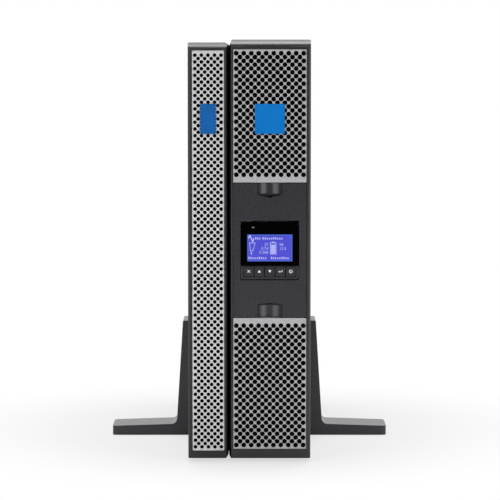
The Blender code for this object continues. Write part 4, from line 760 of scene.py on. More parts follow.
@dataclass
class Stand:
    """The outrigger feet, with the base plate and pads between them."""

    root_height: float = 12.7 * MM
    tip_height: float = 10.4 * MM
    post_top_thick: float = 10.3 * MM
    post_root_thick: float = 17.5 * MM
    inner: float = 64.55 * MM
    tongue_thick: float = 1.7 * MM
    fillet: float = 6.0 * MM
    tip_round: float = 5.0 * MM

    def build(self) -> None:
        """Model both feet, and refine the plate and pads."""
        right = self.foot()
        left = copy_of(right, "stand_foot_left_piece", (0.0, 0.0, 0.0))
        left.scale.x = -1.0
        take(left)
        settle(left.name)
        pick(left, Part.FACES, lambda mid, normal: True)
        bpy.ops.mesh.normals_make_consistent(inside=False)
        done()
        for piece, node in ((right, "stand_foot_right"), (left, "stand_foot_left")):
            present(smooth(piece), FOOT_ABS, Body.CABINET, (node,))
        present(refined("stand_base_plate", 0.5 * MM), CASE_BLACK, Body.CABINET, ("stand_base_plate",))
        for node in ("stand_pad_front", "stand_pad_rear"):
            present(refined(node, 0.4 * MM), PAD_RUBBER, Body.CABINET, (node,))

    def foot(self) -> bpy.types.Object:
        """Model the right foot: a root block drawn out to the tip and up to the post's top.

        Returns:
            The foot.
        """
        low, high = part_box("stand_foot_right")
        root_out = self.inner + self.post_root_thick
        foot = block("stand_foot_right_piece", (self.inner, low.y, low.z), (root_out, high.y, self.root_height))
        extrude(foot, lambda mid, normal: normal.x > 0.9, (high.x - root_out, 0.0, 0.0))
        nudge(foot, lambda place, normal: place.x > high.x - EPS and place.z > EPS,
              (0.0, 0.0, self.tip_height - self.root_height))
        extrude(foot, lambda mid, normal: normal.z > 0.9 and mid.x < root_out,
                (0.0, 0.0, high.z - self.root_height))
        nudge(foot, lambda place, normal: place.z > high.z - EPS and place.x > root_out - EPS,
              (self.post_top_thick - self.post_root_thick, 0.0, 0.0))
        bevel(foot, lambda mid, way: abs(way.y) > 0.9 and (mid - Vector((root_out, mid.y, self.root_height))).length < EPS,
              self.fillet, 10)
        bevel(foot, lambda mid, way: abs(way.z) > 0.9 and mid.x > high.x - EPS, self.tip_round, 6)
        bevel(foot, lambda mid, way: mid.z > high.z - EPS, 1.4 * MM, 3)
        tongue = block("tongue", (low.x, low.y, low.z), (self.inner + 1.0 * MM, high.y, self.tongue_thick))
        combine(foot, [tongue], "UNION")
        return soften(foot, 0.8 * MM, 3)


@dataclass
class Bezel:
    """A moulded bezel frame with swept-back ends, a groove towards its neighbour and a pocket for its panels."""

    node: str
    facing: int
    end: float
    windows: tuple[tuple[float, float], ...]
    top_notch: tuple[float, float]
    bottom_notch: tuple[float, float]
    finish: Finish
    side: float = 4.2 * MM
    top_sweep: tuple[float, float] = (8.0 * MM, 20.0 * MM)
    bottom_round: float = 1.6 * MM
    corner: float = 1.2 * MM
    outer_round: float = 2.0 * MM
    groove: tuple[float, float] = (2.3 * MM, 10.0 * MM)
    seat: float = 9.0 * MM
    ledge: float = 3.0 * MM
    past: float = 5.0 * MM

    def build(self) -> None:
        """Model the frame from three shaped blocks, then cut its pocket and windows."""
        low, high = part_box(self.node)
        front = block(f"{self.node}_piece", low, high)
        self.notched(front)
        bevel(front, lambda mid, way: abs(way.y) > 0.9, self.corner, 4)
        combine(front, [self.swept_ends(low, high), self.shaped_sides(low, high)], "INTERSECT")
        past = Vector((self.past, self.past, self.past))
        pocket_low = Vector((low.x + self.side, low.y - past.y, low.z + self.end))
        pocket_high = Vector((high.x - self.side, low.y + self.seat, high.z - self.end))
        cut(front, block("pocket", pocket_low, pocket_high))
        for bottom, top in self.windows:
            window_low = (pocket_low.x + self.ledge, pocket_high.y - past.y, bottom + self.ledge)
            cut(front, block("window", window_low, (pocket_high.x - self.ledge, high.y + past.y, top - self.ledge)))
        present(soften(front, 0.3 * MM), self.finish, Body.CABINET, (self.node,))

    def notched(self, obj: bpy.types.Object) -> bpy.types.Object:
        """Slope an object's facing corners, so that the two modules leave a notch at the top and bottom.

        Args:
            obj: The bezel, or a case wall behind it.

        Returns:
            The object.
        """
        low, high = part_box(self.node)
        inner = high.x if self.facing > 0 else low.x
        for end, way, (width, height) in ((high.z, 1.0, self.top_notch), (low.z, -1.0, self.bottom_notch)):
            normal = Vector((self.facing * height, 0.0, way * width))
            slice_off(obj, (inner - self.facing * width, 0.0, end), normal)
        return obj

    def swept_ends(self, low: Vector, high: Vector) -> bpy.types.Object:
        """Model a block whose front sweeps back at its top, further in depth than in height, and a little below.

        Args:
            low: The bezel's lowest corner.
            high: The bezel's highest corner.

        Returns:
            The block that the bezel is kept inside.
        """
        height, depth = self.top_sweep
        stretch = depth / height
        back = low.y + (high.y + self.past - low.y) / stretch
        ends = block("ends", (low.x - self.past, low.y, low.z), (high.x + self.past, back, high.z))
        for end, size in ((high.z, height), (low.z, self.bottom_round)):
            bevel(ends, lambda mid, way: mid.y < low.y + EPS and abs(mid.z - end) < EPS, size, 16)
        pick(ends, Part.VERTS, lambda place, normal: True)
        bpy.ops.transform.resize(value=(1.0, stretch, 1.0), center_override=(0.0, low.y, 0.0))
        done()
        return ends

    def shaped_sides(self, low: Vector, high: Vector) -> bpy.types.Object:
        """Model a block with a rounded outer edge, and a steep slope where it faces the other module.

        Args:
            low: The bezel's lowest corner.
            high: The bezel's highest corner.

        Returns:
            The block that the bezel is kept inside.
        """
        inner = high.x if self.facing > 0 else low.x
        outer = low.x if self.facing > 0 else high.x
        width, depth = self.groove
        edge = inner - self.facing * width
        sides = block("sides", (low.x, low.y, low.z - self.past), (high.x, high.y + self.past, high.z + self.past))
        slice_off(sides, (edge, low.y, 0.0), Vector((self.facing * depth, -width, 0.0)))
        for place, size in ((outer, self.outer_round), (edge, 0.5 * MM)):
            bevel(sides, lambda mid, way: abs(way.z) > 0.9 and mid.y < low.y + EPS and abs(mid.x - place) < EPS,
                  size, 6)
        return sides


@dataclass
class Grille:
    """A pressed steel grille with staggered round holes, and the filter foam behind it."""

    node: str
    body: Body
    columns: int
    rows: int
    pitch: float
    row_step: float
    hole_radius: float
    first_row: float
    from_top: bool = True
    finish: Finish = GRILLE_SILVER
    plate: float = 1.0 * MM
    skirt: float = 0.6 * MM
    grow: float = 0.25 * MM
    edge: float = 0.5 * MM
    countersink: float = 0.12 * MM
    sides: int = 20
    foam_thick: float = 5.0 * MM

    def build(self) -> None:
        """Model the panel, punch it and put the foam behind it."""
        low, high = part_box(self.node)
        grow = Vector((self.grow, 0.0, self.grow))
        low, high = low - grow, high + grow
        panel = block(f"{self.node}_panel", low, high)
        depth = high.y - low.y
        bevel(panel, lambda mid, way: abs(way.y) > 0.9, 0.8 * MM, 4)
        bevel(panel, lambda mid, way: mid.y < low.y + EPS and abs(way.y) < 0.1, self.edge, 3)
        extrude(panel, lambda mid, normal: normal.y > 0.9, (0.0, self.plate - depth, 0.0), self.skirt)
        combine(panel, [self.punch(low, high)], "DIFFERENCE", "MANIFOLD")
        present(smooth(panel), self.finish, self.body, (self.node,))
        inset = Vector((self.skirt + 0.4 * MM, 0.0, self.skirt + 0.4 * MM))
        foam_low = low + inset + Vector((0.0, self.plate + 0.2 * MM, 0.0))
        foam_high = Vector((high.x - inset.x, foam_low.y + self.foam_thick, high.z - inset.z))
        foam = soften(block(f"{self.node}_filter", foam_low, foam_high), 0.9 * MM, 3)
        present(foam, FILTER_FOAM, self.body)

    def punch(self, low: Vector, high: Vector) -> bpy.types.Object:
        """Model the punch: one flared pin, repeated over the long rows and the short rows between them.

        Args:
            low: The panel's lowest corner.
            high: The panel's highest corner.

        Returns:
            All the pins as one object.
        """
        start = high.z - self.first_row if self.from_top else low.z + self.first_row
        step = -self.row_step if self.from_top else self.row_step
        left = (low.x + high.x) / 2 - (self.columns - 1) * self.pitch / 2
        back = low.y + self.plate + 1.0 * MM
        face = low.y + self.countersink
        middle = Vector((left, (face + back) / 2, start))
        pin = rod("long_rows", middle, self.hole_radius, back - face, Axis.Y, self.sides)
        lift = 2 * self.countersink
        pick(pin, Part.FACES, lambda mid, normal: normal.y < -0.9)
        bpy.ops.mesh.extrude_region_move(TRANSFORM_OT_translate={"value": (0.0, -lift, 0.0)})
        share = 1.0 + lift / self.hole_radius
        bpy.ops.transform.resize(value=(share, 1.0, share), center_override=(left, face - lift, start))
        done()
        between = copy_of(pin, "short_rows", (self.pitch / 2, 0.0, step))
        fields = ((pin, self.columns, (self.rows + 1) // 2), (between, self.columns - 1, self.rows // 2))
        for pins, columns, rows in fields:
            row(pins, columns, (self.pitch, 0.0, 0.0))
            row(pins, rows, (0.0, 0.0, 2 * step))
        return join("punch", [pin, between])


@dataclass
class Badge:
    """A blank badge plate with a fine raised rim."""

    node: str
    body: Body
    finish: Finish
    corner: float = 0.4 * MM
    thick: float = 1.2 * MM
    rim: float = 0.9 * MM
    rim_height: float = 0.25 * MM
    pin_radius: float = 0.0

    def build(self) -> None:
        """Model the plate, sink its field inside the rim and add its pin."""
        low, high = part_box(self.node)
        plate = block(f"{self.node}_plate", low, (high.x, low.y + self.thick, high.z))
        if self.pin_radius:
            margin = (high.x - low.x) / 2 - self.pin_radius
            length = high.y - low.y - self.thick
            extrude(plate, lambda mid, normal: normal.y > 0.9, (0.0, length, 0.0), margin)
            bevel(plate, lambda mid, way: abs(way.y) > 0.9 and mid.y > low.y + self.thick, self.pin_radius * 0.95, 8)
        extrude(plate, lambda mid, normal: normal.y < -0.9, (0.0, self.rim_height, 0.0), self.rim)
        bevel(plate, lambda mid, way: abs(way.y) > 0.9 and min(mid.x - low.x, high.x - mid.x) < EPS, self.corner, 4)
        present(soften(plate, 0.08 * MM), self.finish, self.body, (self.node,))


@dataclass
class CentreCover:
    """The cover between the grilles, with the display's pocket and a finger scoop at each end."""

    scoop_width: float = 27.6 * MM
    scoop_depth: float = 7.0 * MM
    upper_scoop: tuple[float, float] = (15.4 * MM, 4.5 * MM)
    lower_scoop: tuple[float, float] = (16.2 * MM, 4.0 * MM)
    catch_half: tuple[float, float, float] = (2.1 * MM, 6.0 * MM, 1.0 * MM)
    catch_rise: float = 0.8 * MM
    side_gap: float = 0.5 * MM
    swing_gap: float = 1.0 * MM
    end_steps: int = 10
    past: float = 3.0 * MM

    def build(self) -> None:
        """Model the cover and cut its pocket and scoops."""
        low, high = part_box("centre_cover")
        grow = Vector((0.25 * MM, 0.0, 0.0))
        low, high = low - grow, high + grow
        cover = block("centre_cover_piece", low, high)
        bevel(cover, lambda mid, way: mid.y < low.y + EPS, 0.7 * MM, 4)
        display_low, display_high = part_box("display_housing")
        gap = Vector((self.side_gap, 0.0, self.swing_gap))
        pocket_low, pocket_high = display_low - gap, display_high + gap
        pocket_low.y, pocket_high.y = low.y - self.past, high.y + self.past
        pocket = block("pocket", pocket_low, pocket_high)
        bevel(pocket, lambda mid, way: abs(way.y) > 0.9, 1.2 * MM, 4)
        cut(cover, pocket)
        middle = (display_low.x + display_high.x) / 2
        cut(cover, self.scoop(middle, low.y, high.z, -1.0, self.upper_scoop))
        cut(cover, self.scoop(middle, low.y, low.z, 1.0, self.lower_scoop))
        slot_place = Vector((middle, low.y + self.catch_half[1], high.z - self.upper_scoop[0] + self.catch_rise))
        cut(cover, block("catch_slot", *around(slot_place, self.catch_half)))
        present(soften(cover, 0.25 * MM), COVER_ABS, Body.CABINET, ("centre_cover",))

    def scoop(self, middle: float, face: float, edge: float, inward: float, size: tuple[float, float]) -> bpy.types.Object:
        """Model a scoop's shape: an upright cylinder that closes in a rounded end.

        Args:
            middle: The scoop's middle along X.
            face: The cover's face along Y.
            edge: Height of the edge where the scoop opens.
            inward: 1 where the scoop runs up from the edge and -1 where it runs down.
            size: The scoop's length, and the part of it that its rounded end takes.

        Returns:
            The shape to cut away.
        """
        length, end = size
        half = self.scoop_width / 2
        radius = (half ** 2 + self.scoop_depth ** 2) / (2 * self.scoop_depth)
        axis = Vector((middle, face + self.scoop_depth - radius, 0.0))
        straight = length - end
        height = edge + inward * (straight - self.past) / 2
        shape = rod("scoop", axis + Vector((0.0, 0.0, height)), radius, straight + self.past, Axis.Z, 96)
        pick(shape, Part.FACES, lambda mid, normal: normal.z * inward > 0.9)
        share, reached = 1.0, 0.0
        for index in range(1, self.end_steps):
            angle = math.pi / 2 * index / self.end_steps
            step = end * math.sin(angle) - reached
            reached += step
            bpy.ops.mesh.extrude_region_move(TRANSFORM_OT_translate={"value": (0.0, 0.0, inward * step)})
            ratio = math.cos(angle) / share
            share = math.cos(angle)
            bpy.ops.transform.resize(value=(ratio, ratio, 1.0), center_override=axis)
        done()
        return shape


class KeyMark(Enum):
    """The mark on each key."""

    CANCEL = "cancel"
    UP = "up"
    DOWN = "down"
    ENTER = "enter"
    POWER = "power"


@dataclass
class ScreenMarks:
    """The generic marks on the lit screen: a wave, tabs for words, a load funnel, a battery gauge and numbers.

    Places are shares of the screen's width from its left, and of its height from its top.
    """

    low: Vector
    high: Vector
    thick: float
    wave_start: tuple[float, float] = (0.025, 0.145)
    wave_size: tuple[float, float] = (0.125, 0.09)
    wave_steps: int = 14
    words: tuple[tuple[float, float, int], ...] = ((0.175, 0.1, 3), (0.34, 0.1, 10), (0.025, 0.83, 9), (0.525, 0.83, 9))
    tab_pitch: float = 0.046
    tab_width: float = 0.027
    tab_height: float = 0.085
    numbers: tuple[tuple[str, str, float, float], ...] = (
        ("27", "RIGHT", 0.465, 0.43), ("0.74", "RIGHT", 0.465, 0.57), ("0.568", "RIGHT", 0.465, 0.71),
        ("98", "LEFT", 0.71, 0.43), ("12.5", "LEFT", 0.71, 0.57))
    number_height: float = 0.105

    def build(self) -> bpy.types.Object:
        """Model every mark and join them.

        Returns:
            All the marks as one object.
        """
        marks = self.wave() + self.tabs() + self.funnel() + self.gauge()
        for text, align, across, down in self.numbers:
            marks.append(self.figures(text, align, self.at(across, down)))
        return join("lcd_marks", marks)

    def at(self, across: float, down: float) -> Vector:
        """Give a place on the face of the marks from shares of the screen's width and height."""
        size = self.high - self.low
        return Vector((self.low.x + across * size.x, self.low.y - self.thick, self.high.z - down * size.z))

    def bar(self, left: float, top: float, right: float, bottom: float) -> bpy.types.Object:
        """Model one bar between two places on the screen, its front edges broken."""
        start, end = self.at(left, bottom), self.at(right, top)
        made = block("bar", start, (end.x, start.y + self.thick, end.z))
        return bevel(made, lambda mid, way: mid.y < start.y + self.thick / 4, self.thick / 3, 1)

    def wave(self) -> list[bpy.types.Object]:
        """Model one period of a sine wave in steps, as a dot matrix draws it."""
        bars = []
        across, middle = self.wave_start
        width, height = self.wave_size
        step = width / self.wave_steps
        for index in range(self.wave_steps):
            left = across + index * step
            down = middle - height * math.sin(2 * math.pi * (index + 0.5) / self.wave_steps)
            bars.append(self.bar(left, down - height / 2, left + step * 1.2, down + height / 2))
        return bars

    def tabs(self) -> list[bpy.types.Object]:
        """Model rows of small tabs of uneven height, which stand for words and spell none."""
        bars = []
        for start, top, count in self.words:
            for index in range(count):
                left = start + index * self.tab_pitch
                drop = self.tab_height * (0.0, 0.3, 0.3, 0.1, 0.3)[index * 3 % 5]
                bars.append(self.bar(left, top + drop, left + self.tab_width, top + self.tab_height))
        return bars

    def funnel(self) -> list[bpy.types.Object]:
        """Model the load gauge: a funnel's outline over a small square."""
        bars = [self.bar(0.045, 0.3, 0.18, 0.325), self.bar(0.06, 0.6, 0.125, 0.625),
                self.bar(0.075, 0.67, 0.105, 0.74)]
        steps, tall = 6, 0.046
        for index in range(steps):
            top = 0.325 + index * tall
            for left in (0.048 + index * 0.003, 0.165 - index * 0.009):
                bars.append(self.bar(left, top, left + 0.012, top + tall * 1.1))
        return bars

    def gauge(self) -> list[bpy.types.Object]:
        """Model the battery gauge: an outline with its cap, filled by level bars."""
        left, top, right, bottom, wall = 0.505, 0.295, 0.645, 0.74, 0.015
        bars = [self.bar(0.545, 0.27, 0.605, top), self.bar(left, top, right, top + 0.025),
                self.bar(left, top + 0.025, left + wall, bottom), self.bar(right - wall, top + 0.025, right, bottom),
                self.bar(left, bottom - 0.025, right, bottom)]
        levels, pitch = 5, 0.066
        for index in range(levels):
            level = 0.38 + index * pitch
            bars.append(self.bar(left + 0.022, level, right - 0.022, level + pitch * 0.87))
        return bars

    def figures(self, text: str, align: str, place: Vector) -> bpy.types.Object:
        """Model plain numbers that stand on a line and face the front.

        Args:
            text: The numbers.
            align: LEFT or RIGHT, for the end that the place gives.
            place: Where the numbers start or end.

        Returns:
            The numbers as a mesh.
        """
        deselect()
        bpy.ops.object.text_add()
        made = bpy.context.object
        made.data.body = text
        made.data.align_x = align
        made.data.size = self.number_height * (self.high.z - self.low.z) / 0.7
        made.data.extrude = self.thick / 2
        made.data.resolution_u = 3
        bpy.ops.object.convert(target="MESH")
        made = bpy.context.object
        made.rotation_euler = (math.radians(90.0), 0.0, 0.0)
        made.location = place + Vector((0.0, self.thick / 2, 0.0))
        made = settle("figures")
        pick(made, Part.FACES, lambda mid, normal: True)
        bpy.ops.mesh.remove_doubles(threshold=0.002 * MM)
        done()
        return made


@dataclass
class DisplayUnit:
    """The tilting display: housing, window, lit screen and keys."""

    face: float = 5.0 * MM
    wall: float = 1.6 * MM
    heel: float = 2.0 * MM
    corner: float = 1.2 * MM
    key_corner: float = 1.4 * MM
    key_gap: float = 0.35 * MM
    key_shrink: float = 0.2 * MM
    key_dish: float = 0.08 * MM
    fit: float = 0.3 * MM
    past: float = 3.0 * MM
    rim: float = 1.5 * MM
    border: float = 1.2 * MM
    recess: float = 0.2 * MM
    mark_thick: float = 0.06 * MM
    mark_half: float = 1.8 * MM
    mark_rise: float = 0.6 * MM
    stroke: float = 0.6 * MM

    def build(self) -> None:
        """Model every piece of the display."""
        present(self.housing(), COVER_ABS, Body.DISPLAY, ("display_housing",))
        present(refined("display_window", 0.2 * MM), WINDOW_BLACK, Body.DISPLAY, ("display_window",))
        present(refined("status_light", 0.15 * MM), LIGHT_PIPE, Body.DISPLAY, ("status_light",))
        self.build_screen()
        for mark in KeyMark:
            self.build_key(mark)

    def housing(self) -> bpy.types.Object:
        """Model the housing: a case with a seat for the window, openings for screen and keys, and an open back.

        Returns:
            The housing.
        """
        low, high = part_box("display_housing")
        made = block("display_housing_piece", low, high)
        slice_off(made, (0.0, high.y - self.heel, low.z), (0.0, 1.0, -1.0))
        bevel(made, lambda mid, way: abs(way.y) > 0.9 and mid.z < low.z + EPS, self.corner, 4)
        window_low, window_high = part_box("display_window")
        seat_low = (low.x - self.past, low.y - self.past, window_low.z - self.fit)
        cut(made, block("seat", seat_low, (high.x + self.past, window_high.y + self.fit, high.z + self.past)))
        floor = low.y + self.face
        for node in ("lcd_panel", "status_light"):
            part_low, part_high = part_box(node)
            hole_low = (part_low.x - self.fit, low.y - self.past, part_low.z - self.fit)
            cut(made, block("opening", hole_low, (part_high.x + self.fit, floor + self.past, part_high.z + self.fit)))
        keys_low, keys_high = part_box("cancel_key")[0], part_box("power_key")[1]
        row_low = (keys_low.x - self.key_gap, low.y - self.past, keys_low.z - self.key_gap)
        key_row = block("key_row", row_low, (keys_high.x + self.key_gap, floor + self.past, keys_high.z + self.key_gap))
        bevel(key_row, lambda mid, way: abs(way.y) > 0.9 and mid.z < keys_low.z, self.key_corner + self.key_gap, 5)
        hollow_low = (low.x + self.wall, floor, low.z + self.heel + self.wall)
        hollow = block("hollow", hollow_low, (high.x - self.wall, high.y + self.past, high.z - self.wall))
        pin_low, pin_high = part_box("display_hinge_pin")
        reach = high.x - low.x + 2 * self.past
        bore = rod("bore", (pin_low + pin_high) / 2, (pin_high.z - pin_low.z) / 2 + self.fit, reach, Axis.X, 32)
        return soften(cut(made, key_row, hollow, bore), 0.22 * MM)

    def build_screen(self) -> None:
        """Model the screen with its paler border, and the marks that it shows."""
        low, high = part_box("lcd_panel")
        rim = Vector((self.rim, 0.0, self.rim))
        low, high = low + rim, high - rim
        low.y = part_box("display_window")[0].y + self.recess
        sunk = 0.1 * MM
        border = block("lcd_border", low, high)
        extrude(border, lambda mid, normal: normal.y < -0.9, (0.0, sunk, 0.0), self.border)
        present(soften(border, 0.05 * MM, 1), SCREEN_EDGE, Body.DISPLAY, ("lcd_panel",))
        inner = Vector((self.border, 0.0, self.border))
        screen = block("lcd_screen", low + inner, (high.x - inner.x, low.y + sunk, high.z - inner.z))
        present(soften(screen, 0.03 * MM, 1), SCREEN_BLUE, Body.DISPLAY)
        present(ScreenMarks(low, high, self.mark_thick).build(), SCREEN_MARK, Body.DISPLAY)

    def build_key(self, mark: KeyMark) -> None:
        """Model one key and the mark printed on it.

        Args:
            mark: Which key.
        """
        node = f"{mark.value}_key"
        body = f"{mark.value}_button"
        low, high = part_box(node)
        shrink = Vector((self.key_shrink, 0.0, self.key_shrink))
        low, high = low + shrink, high - shrink
        key = block(f"{node}_cap", low, high)
        outer = {KeyMark.CANCEL: low.x, KeyMark.POWER: high.x}.get(mark)
        if outer is not None:
            bevel(key, lambda mid, way: abs(way.y) > 0.9 and mid.z < low.z + EPS and abs(mid.x - outer) < EPS,
                  self.key_corner, 6)
        extrude(key, lambda mid, normal: normal.y < -0.9, (0.0, self.key_dish, 0.0), 0.9 * MM)
        present(soften(key, 0.2 * MM), KEY_RUBBER, body, (node,))
        face = low.y + self.key_dish
        middle = (low.z + high.z) / 2 + self.mark_rise
        centre = Vector(((low.x + high.x) / 2, face - self.mark_thick / 2, middle))
        present(join(f"{node}_mark", self.mark(mark, centre)), PRINT_WHITE, body)

    def mark(self, mark: KeyMark, centre: Vector) -> list[bpy.types.Object]:
        """Model a key's mark from strokes, triangles and an open ring.

        Args:
            mark: Which mark.
            centre: Middle of the key's face.

        Returns:
            The mark's pieces.
        """
        size, half, thick = self.mark_half, self.stroke / 2, self.mark_thick / 2

        def stroke(across: float, up: float, long: float, tall: float, angle: float = 0.0) -> bpy.types.Object:
            """Model one printed stroke, turned about the mark's middle."""
            made = block("stroke", *around(centre + Vector((across, 0.0, up)), (long, thick, tall)))
            bevel(made, lambda mid, way: abs(way.y) > 0.9, half * 0.6, 2)
            return turned(made, angle, Axis.Y, centre)

        def triangle(across: float, up: float, radius: float, angle: float) -> bpy.types.Object:
            """Model one printed triangle that points along an angle."""
            spot = centre + Vector((across, 0.0, up))
            made = rod("triangle", spot, radius, 2 * thick, Axis.Y, 3)
            bevel(made, lambda mid, way: abs(way.y) > 0.9, radius * 0.1, 2)
            return turned(made, angle, Axis.Y, spot)

        if mark is KeyMark.CANCEL:
            return [stroke(0.0, 0.0, size, half, math.radians(angle)) for angle in (45.0, -45.0)]
        if mark is KeyMark.UP:
            return [triangle(0.0, -0.2 * size, size, self.point_up())]
        if mark is KeyMark.DOWN:
            return [triangle(0.0, 0.2 * size, size, self.point_up() + math.pi)]
        if mark is KeyMark.ENTER:
            return [stroke(0.25 * size, -0.25 * size, 0.8 * size, half),
                    stroke(size, 0.2 * size, half, 0.5 * size),
                    triangle(-0.65 * size, -0.25 * size, 0.55 * size, self.point_up() - math.pi / 2)]
        ring = rod("ring", centre, size, 2 * thick, Axis.Y, 40)
        hole = rod("hole", centre, size - 2 * half, 4 * thick, Axis.Y, 40)
        gap = block("gap", *around(centre + Vector((0.0, 0.0, size)), (0.5 * size, 4 * thick, 0.6 * size)))
        return [cut(ring, hole, gap), stroke(0.0, 0.55 * size, half, 0.6 * size)]

    @staticmethod
    def point_up() -> float:
        """Give the turn about Y that points a three-sided rod's first corner up."""
        deselect()
        probe = rod("probe", Vector(), 1.0, 0.1, Axis.Y, 3)
        tip = max((corner.co for corner in probe.data.vertices), key=lambda place: place.z)
        angle = math.atan2(tip.x, tip.z)
        bpy.data.objects.remove(probe)
        return -angle


@dataclass
class Screws:
    """Pan-head screws with a cross recess, joined into one piece for each panel."""

    radius: float = 2.8 * MM
    height: float = 1.0 * MM
    cross: float = 0.8 * MM

    def model(self) -> bpy.types.Object:
        """Model one screw at the origin, its head facing the back.

        Returns:
            The screw.
        """
        head = rod("screw", Vector((0.0, self.height / 2 - 0.2 * MM, 0.0)), self.radius, self.height + 0.4 * MM, Axis.Y, 28)
        bevel(head, lambda mid, way: mid.y > self.height - EPS and abs(way.y) < 0.1, 0.6 * MM, 4)
        deep = Vector((0.0, self.height, 0.0))
        for half in ((1.7 * MM, 0.7 * MM, self.cross / 2), (self.cross / 2, 0.7 * MM, 1.7 * MM)):
            cut(head, block("recess", *around(deep, half)))
        return smooth(head)

    def fit(self, name: str, places: list[Vector], facing: Vector, body: Body = Body.CABINET) -> None:
        """Copy the screw to each place, and join the copies.

        Args:
            name: Name for the piece.
            places: Points on the panel's face.
            facing: The panel's outward normal.
            body: The body that they ride on.
        """
        head = self.model()
        turn = Axis.Y.value.rotation_difference(Vector(facing)).to_matrix().to_4x4()
        copies = []
        for index, place in enumerate(places):
            made = copy_of(head, f"screw_{index}", (0.0, 0.0, 0.0))
            made.matrix_world = Matrix.Translation(place) @ turn @ Matrix.Rotation(0.7 * index, 4, "Y")
            take(made)
            copies.append(settle(made.name))
        bpy.data.objects.remove(head)
        present(join(name, copies), SCREW_STEEL, body)


@dataclass
class Cases:
    """The steel cases of both modules, with vent slots and screws."""

    slot_long: float = 26.0 * MM
    slot_tall: float = 3.0 * MM
    slot_pitch: float = 8.0 * MM
    slot_rows: int = 14
    slot_gap: float = 34.0 * MM
    ear_hole: float = 2.1 * MM
    ear_stops: tuple[float, ...] = (16.0 * MM, 36.0 * MM, 56.0 * MM)
    ear_half: float = 13.0 * MM

    def build(self, ups_bezel: Bezel, module_bezel: Bezel) -> None:
        """Refine the trays and lids, cut their vents and fit their screws.

        Args:
            ups_bezel: The bezel in front of the power module's case.
            module_bezel: The bezel in front of the battery module's case.
        """
        tray = refined("ups_tray", 0.35 * MM)
        low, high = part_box("ups_tray")
        cut(tray, self.vents(high.x, low.y + 40.0 * MM, 250.0 * MM, 2),
            self.vents(high.x, high.y - 60.0 * MM, 60.0 * MM, 1))
        cut(tray, *self.ear_holes((low.x + high.x) / 2, low.y, high.z))
        present(smooth(tray), CASE_BLACK, Body.CABINET, ("ups_tray",))
        walls = (("ups_lid", ups_bezel), ("module_tray", module_bezel), ("module_lid", module_bezel))
        for node, bezel in walls:
            wall = smooth(bezel.notched(refined(node, 0.35 * MM)))
            present(wall, CASE_BLACK, Body.CABINET, (node,))
        stops = [low.y + share * (high.y - low.y) for share in (0.06, 0.28, 0.5, 0.72, 0.94)]
        screws = Screws()
        up = Vector((0.0, 0.0, 1.0))
        screws.fit("ups_top_screws", [Vector((low.x + 7.0 * MM, stop, high.z)) for stop in stops], up)
        sides = [Vector((high.x, stop, z)) for stop in stops[::2] for z in (low.z + 8.0 * MM, high.z - 8.0 * MM)]
        screws.fit("ups_side_screws", sides, Vector((1.0, 0.0, 0.0)))
        low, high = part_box("module_tray")
        screws.fit("module_top_screws", [Vector((high.x - 6.0 * MM, stop, high.z)) for stop in stops[1:4]], up)
        sides = [Vector((low.x, stop, z)) for stop in stops[::2] for z in (low.z + 8.0 * MM, high.z - 8.0 * MM)]
        screws.fit("module_side_screws", sides, Vector((-1.0, 0.0, 0.0)))

    def ear_holes(self, middle: float, front: float, top: float) -> list[bpy.types.Object]:
        """Model the countersunk holes that take the rack ear's screws.

        Args:
            middle: The case's middle along X.
            front: The case's front edge.
            top: The case's top face.

        Returns:
            The shapes to cut away.
        """
        holes = []
        for across in (-self.ear_half, self.ear_half):
            for stop in self.ear_stops:
                place = Vector((middle + across, front + stop, top))
                hole = rod("ear_hole", place, self.ear_hole, 6.0 * MM, Axis.Z, 28)
                pick(hole, Part.FACES, lambda mid, normal: normal.z > 0.9)
                bpy.ops.transform.translate(value=(0.0, 0.0, -3.0 * MM - self.ear_hole / 2))
                bpy.ops.mesh.extrude_region_move(TRANSFORM_OT_translate={"value": (0.0, 0.0, self.ear_hole)})
                bpy.ops.transform.resize(value=(2.2, 2.2, 1.0), center_override=place)
                done()
                holes.append(hole)
        return holes

    def vents(self, wall: float, start: float, bottom: float, columns: int) -> bpy.types.Object:
        """Model a field of round-ended vent slots across a side wall.

        Args:
            wall: The wall's place along X.
            start: Front end of the field.
            bottom: Lowest slot.
            columns: Slots side by side.

        Returns:
            The slots as one object to cut away.
        """
        centre = Vector((wall, start + self.slot_long / 2, bottom))
        slot = block("vents", *around(centre, (4.0 * MM, self.slot_long / 2, self.slot_tall / 2)))
        bevel(slot, lambda mid, way: abs(way.x) > 0.9, self.slot_tall * 0.49, 5)
        row(slot, self.slot_rows, (0.0, 0.0, self.slot_pitch))
        return row(slot, columns, (0.0, self.slot_gap, 0.0))


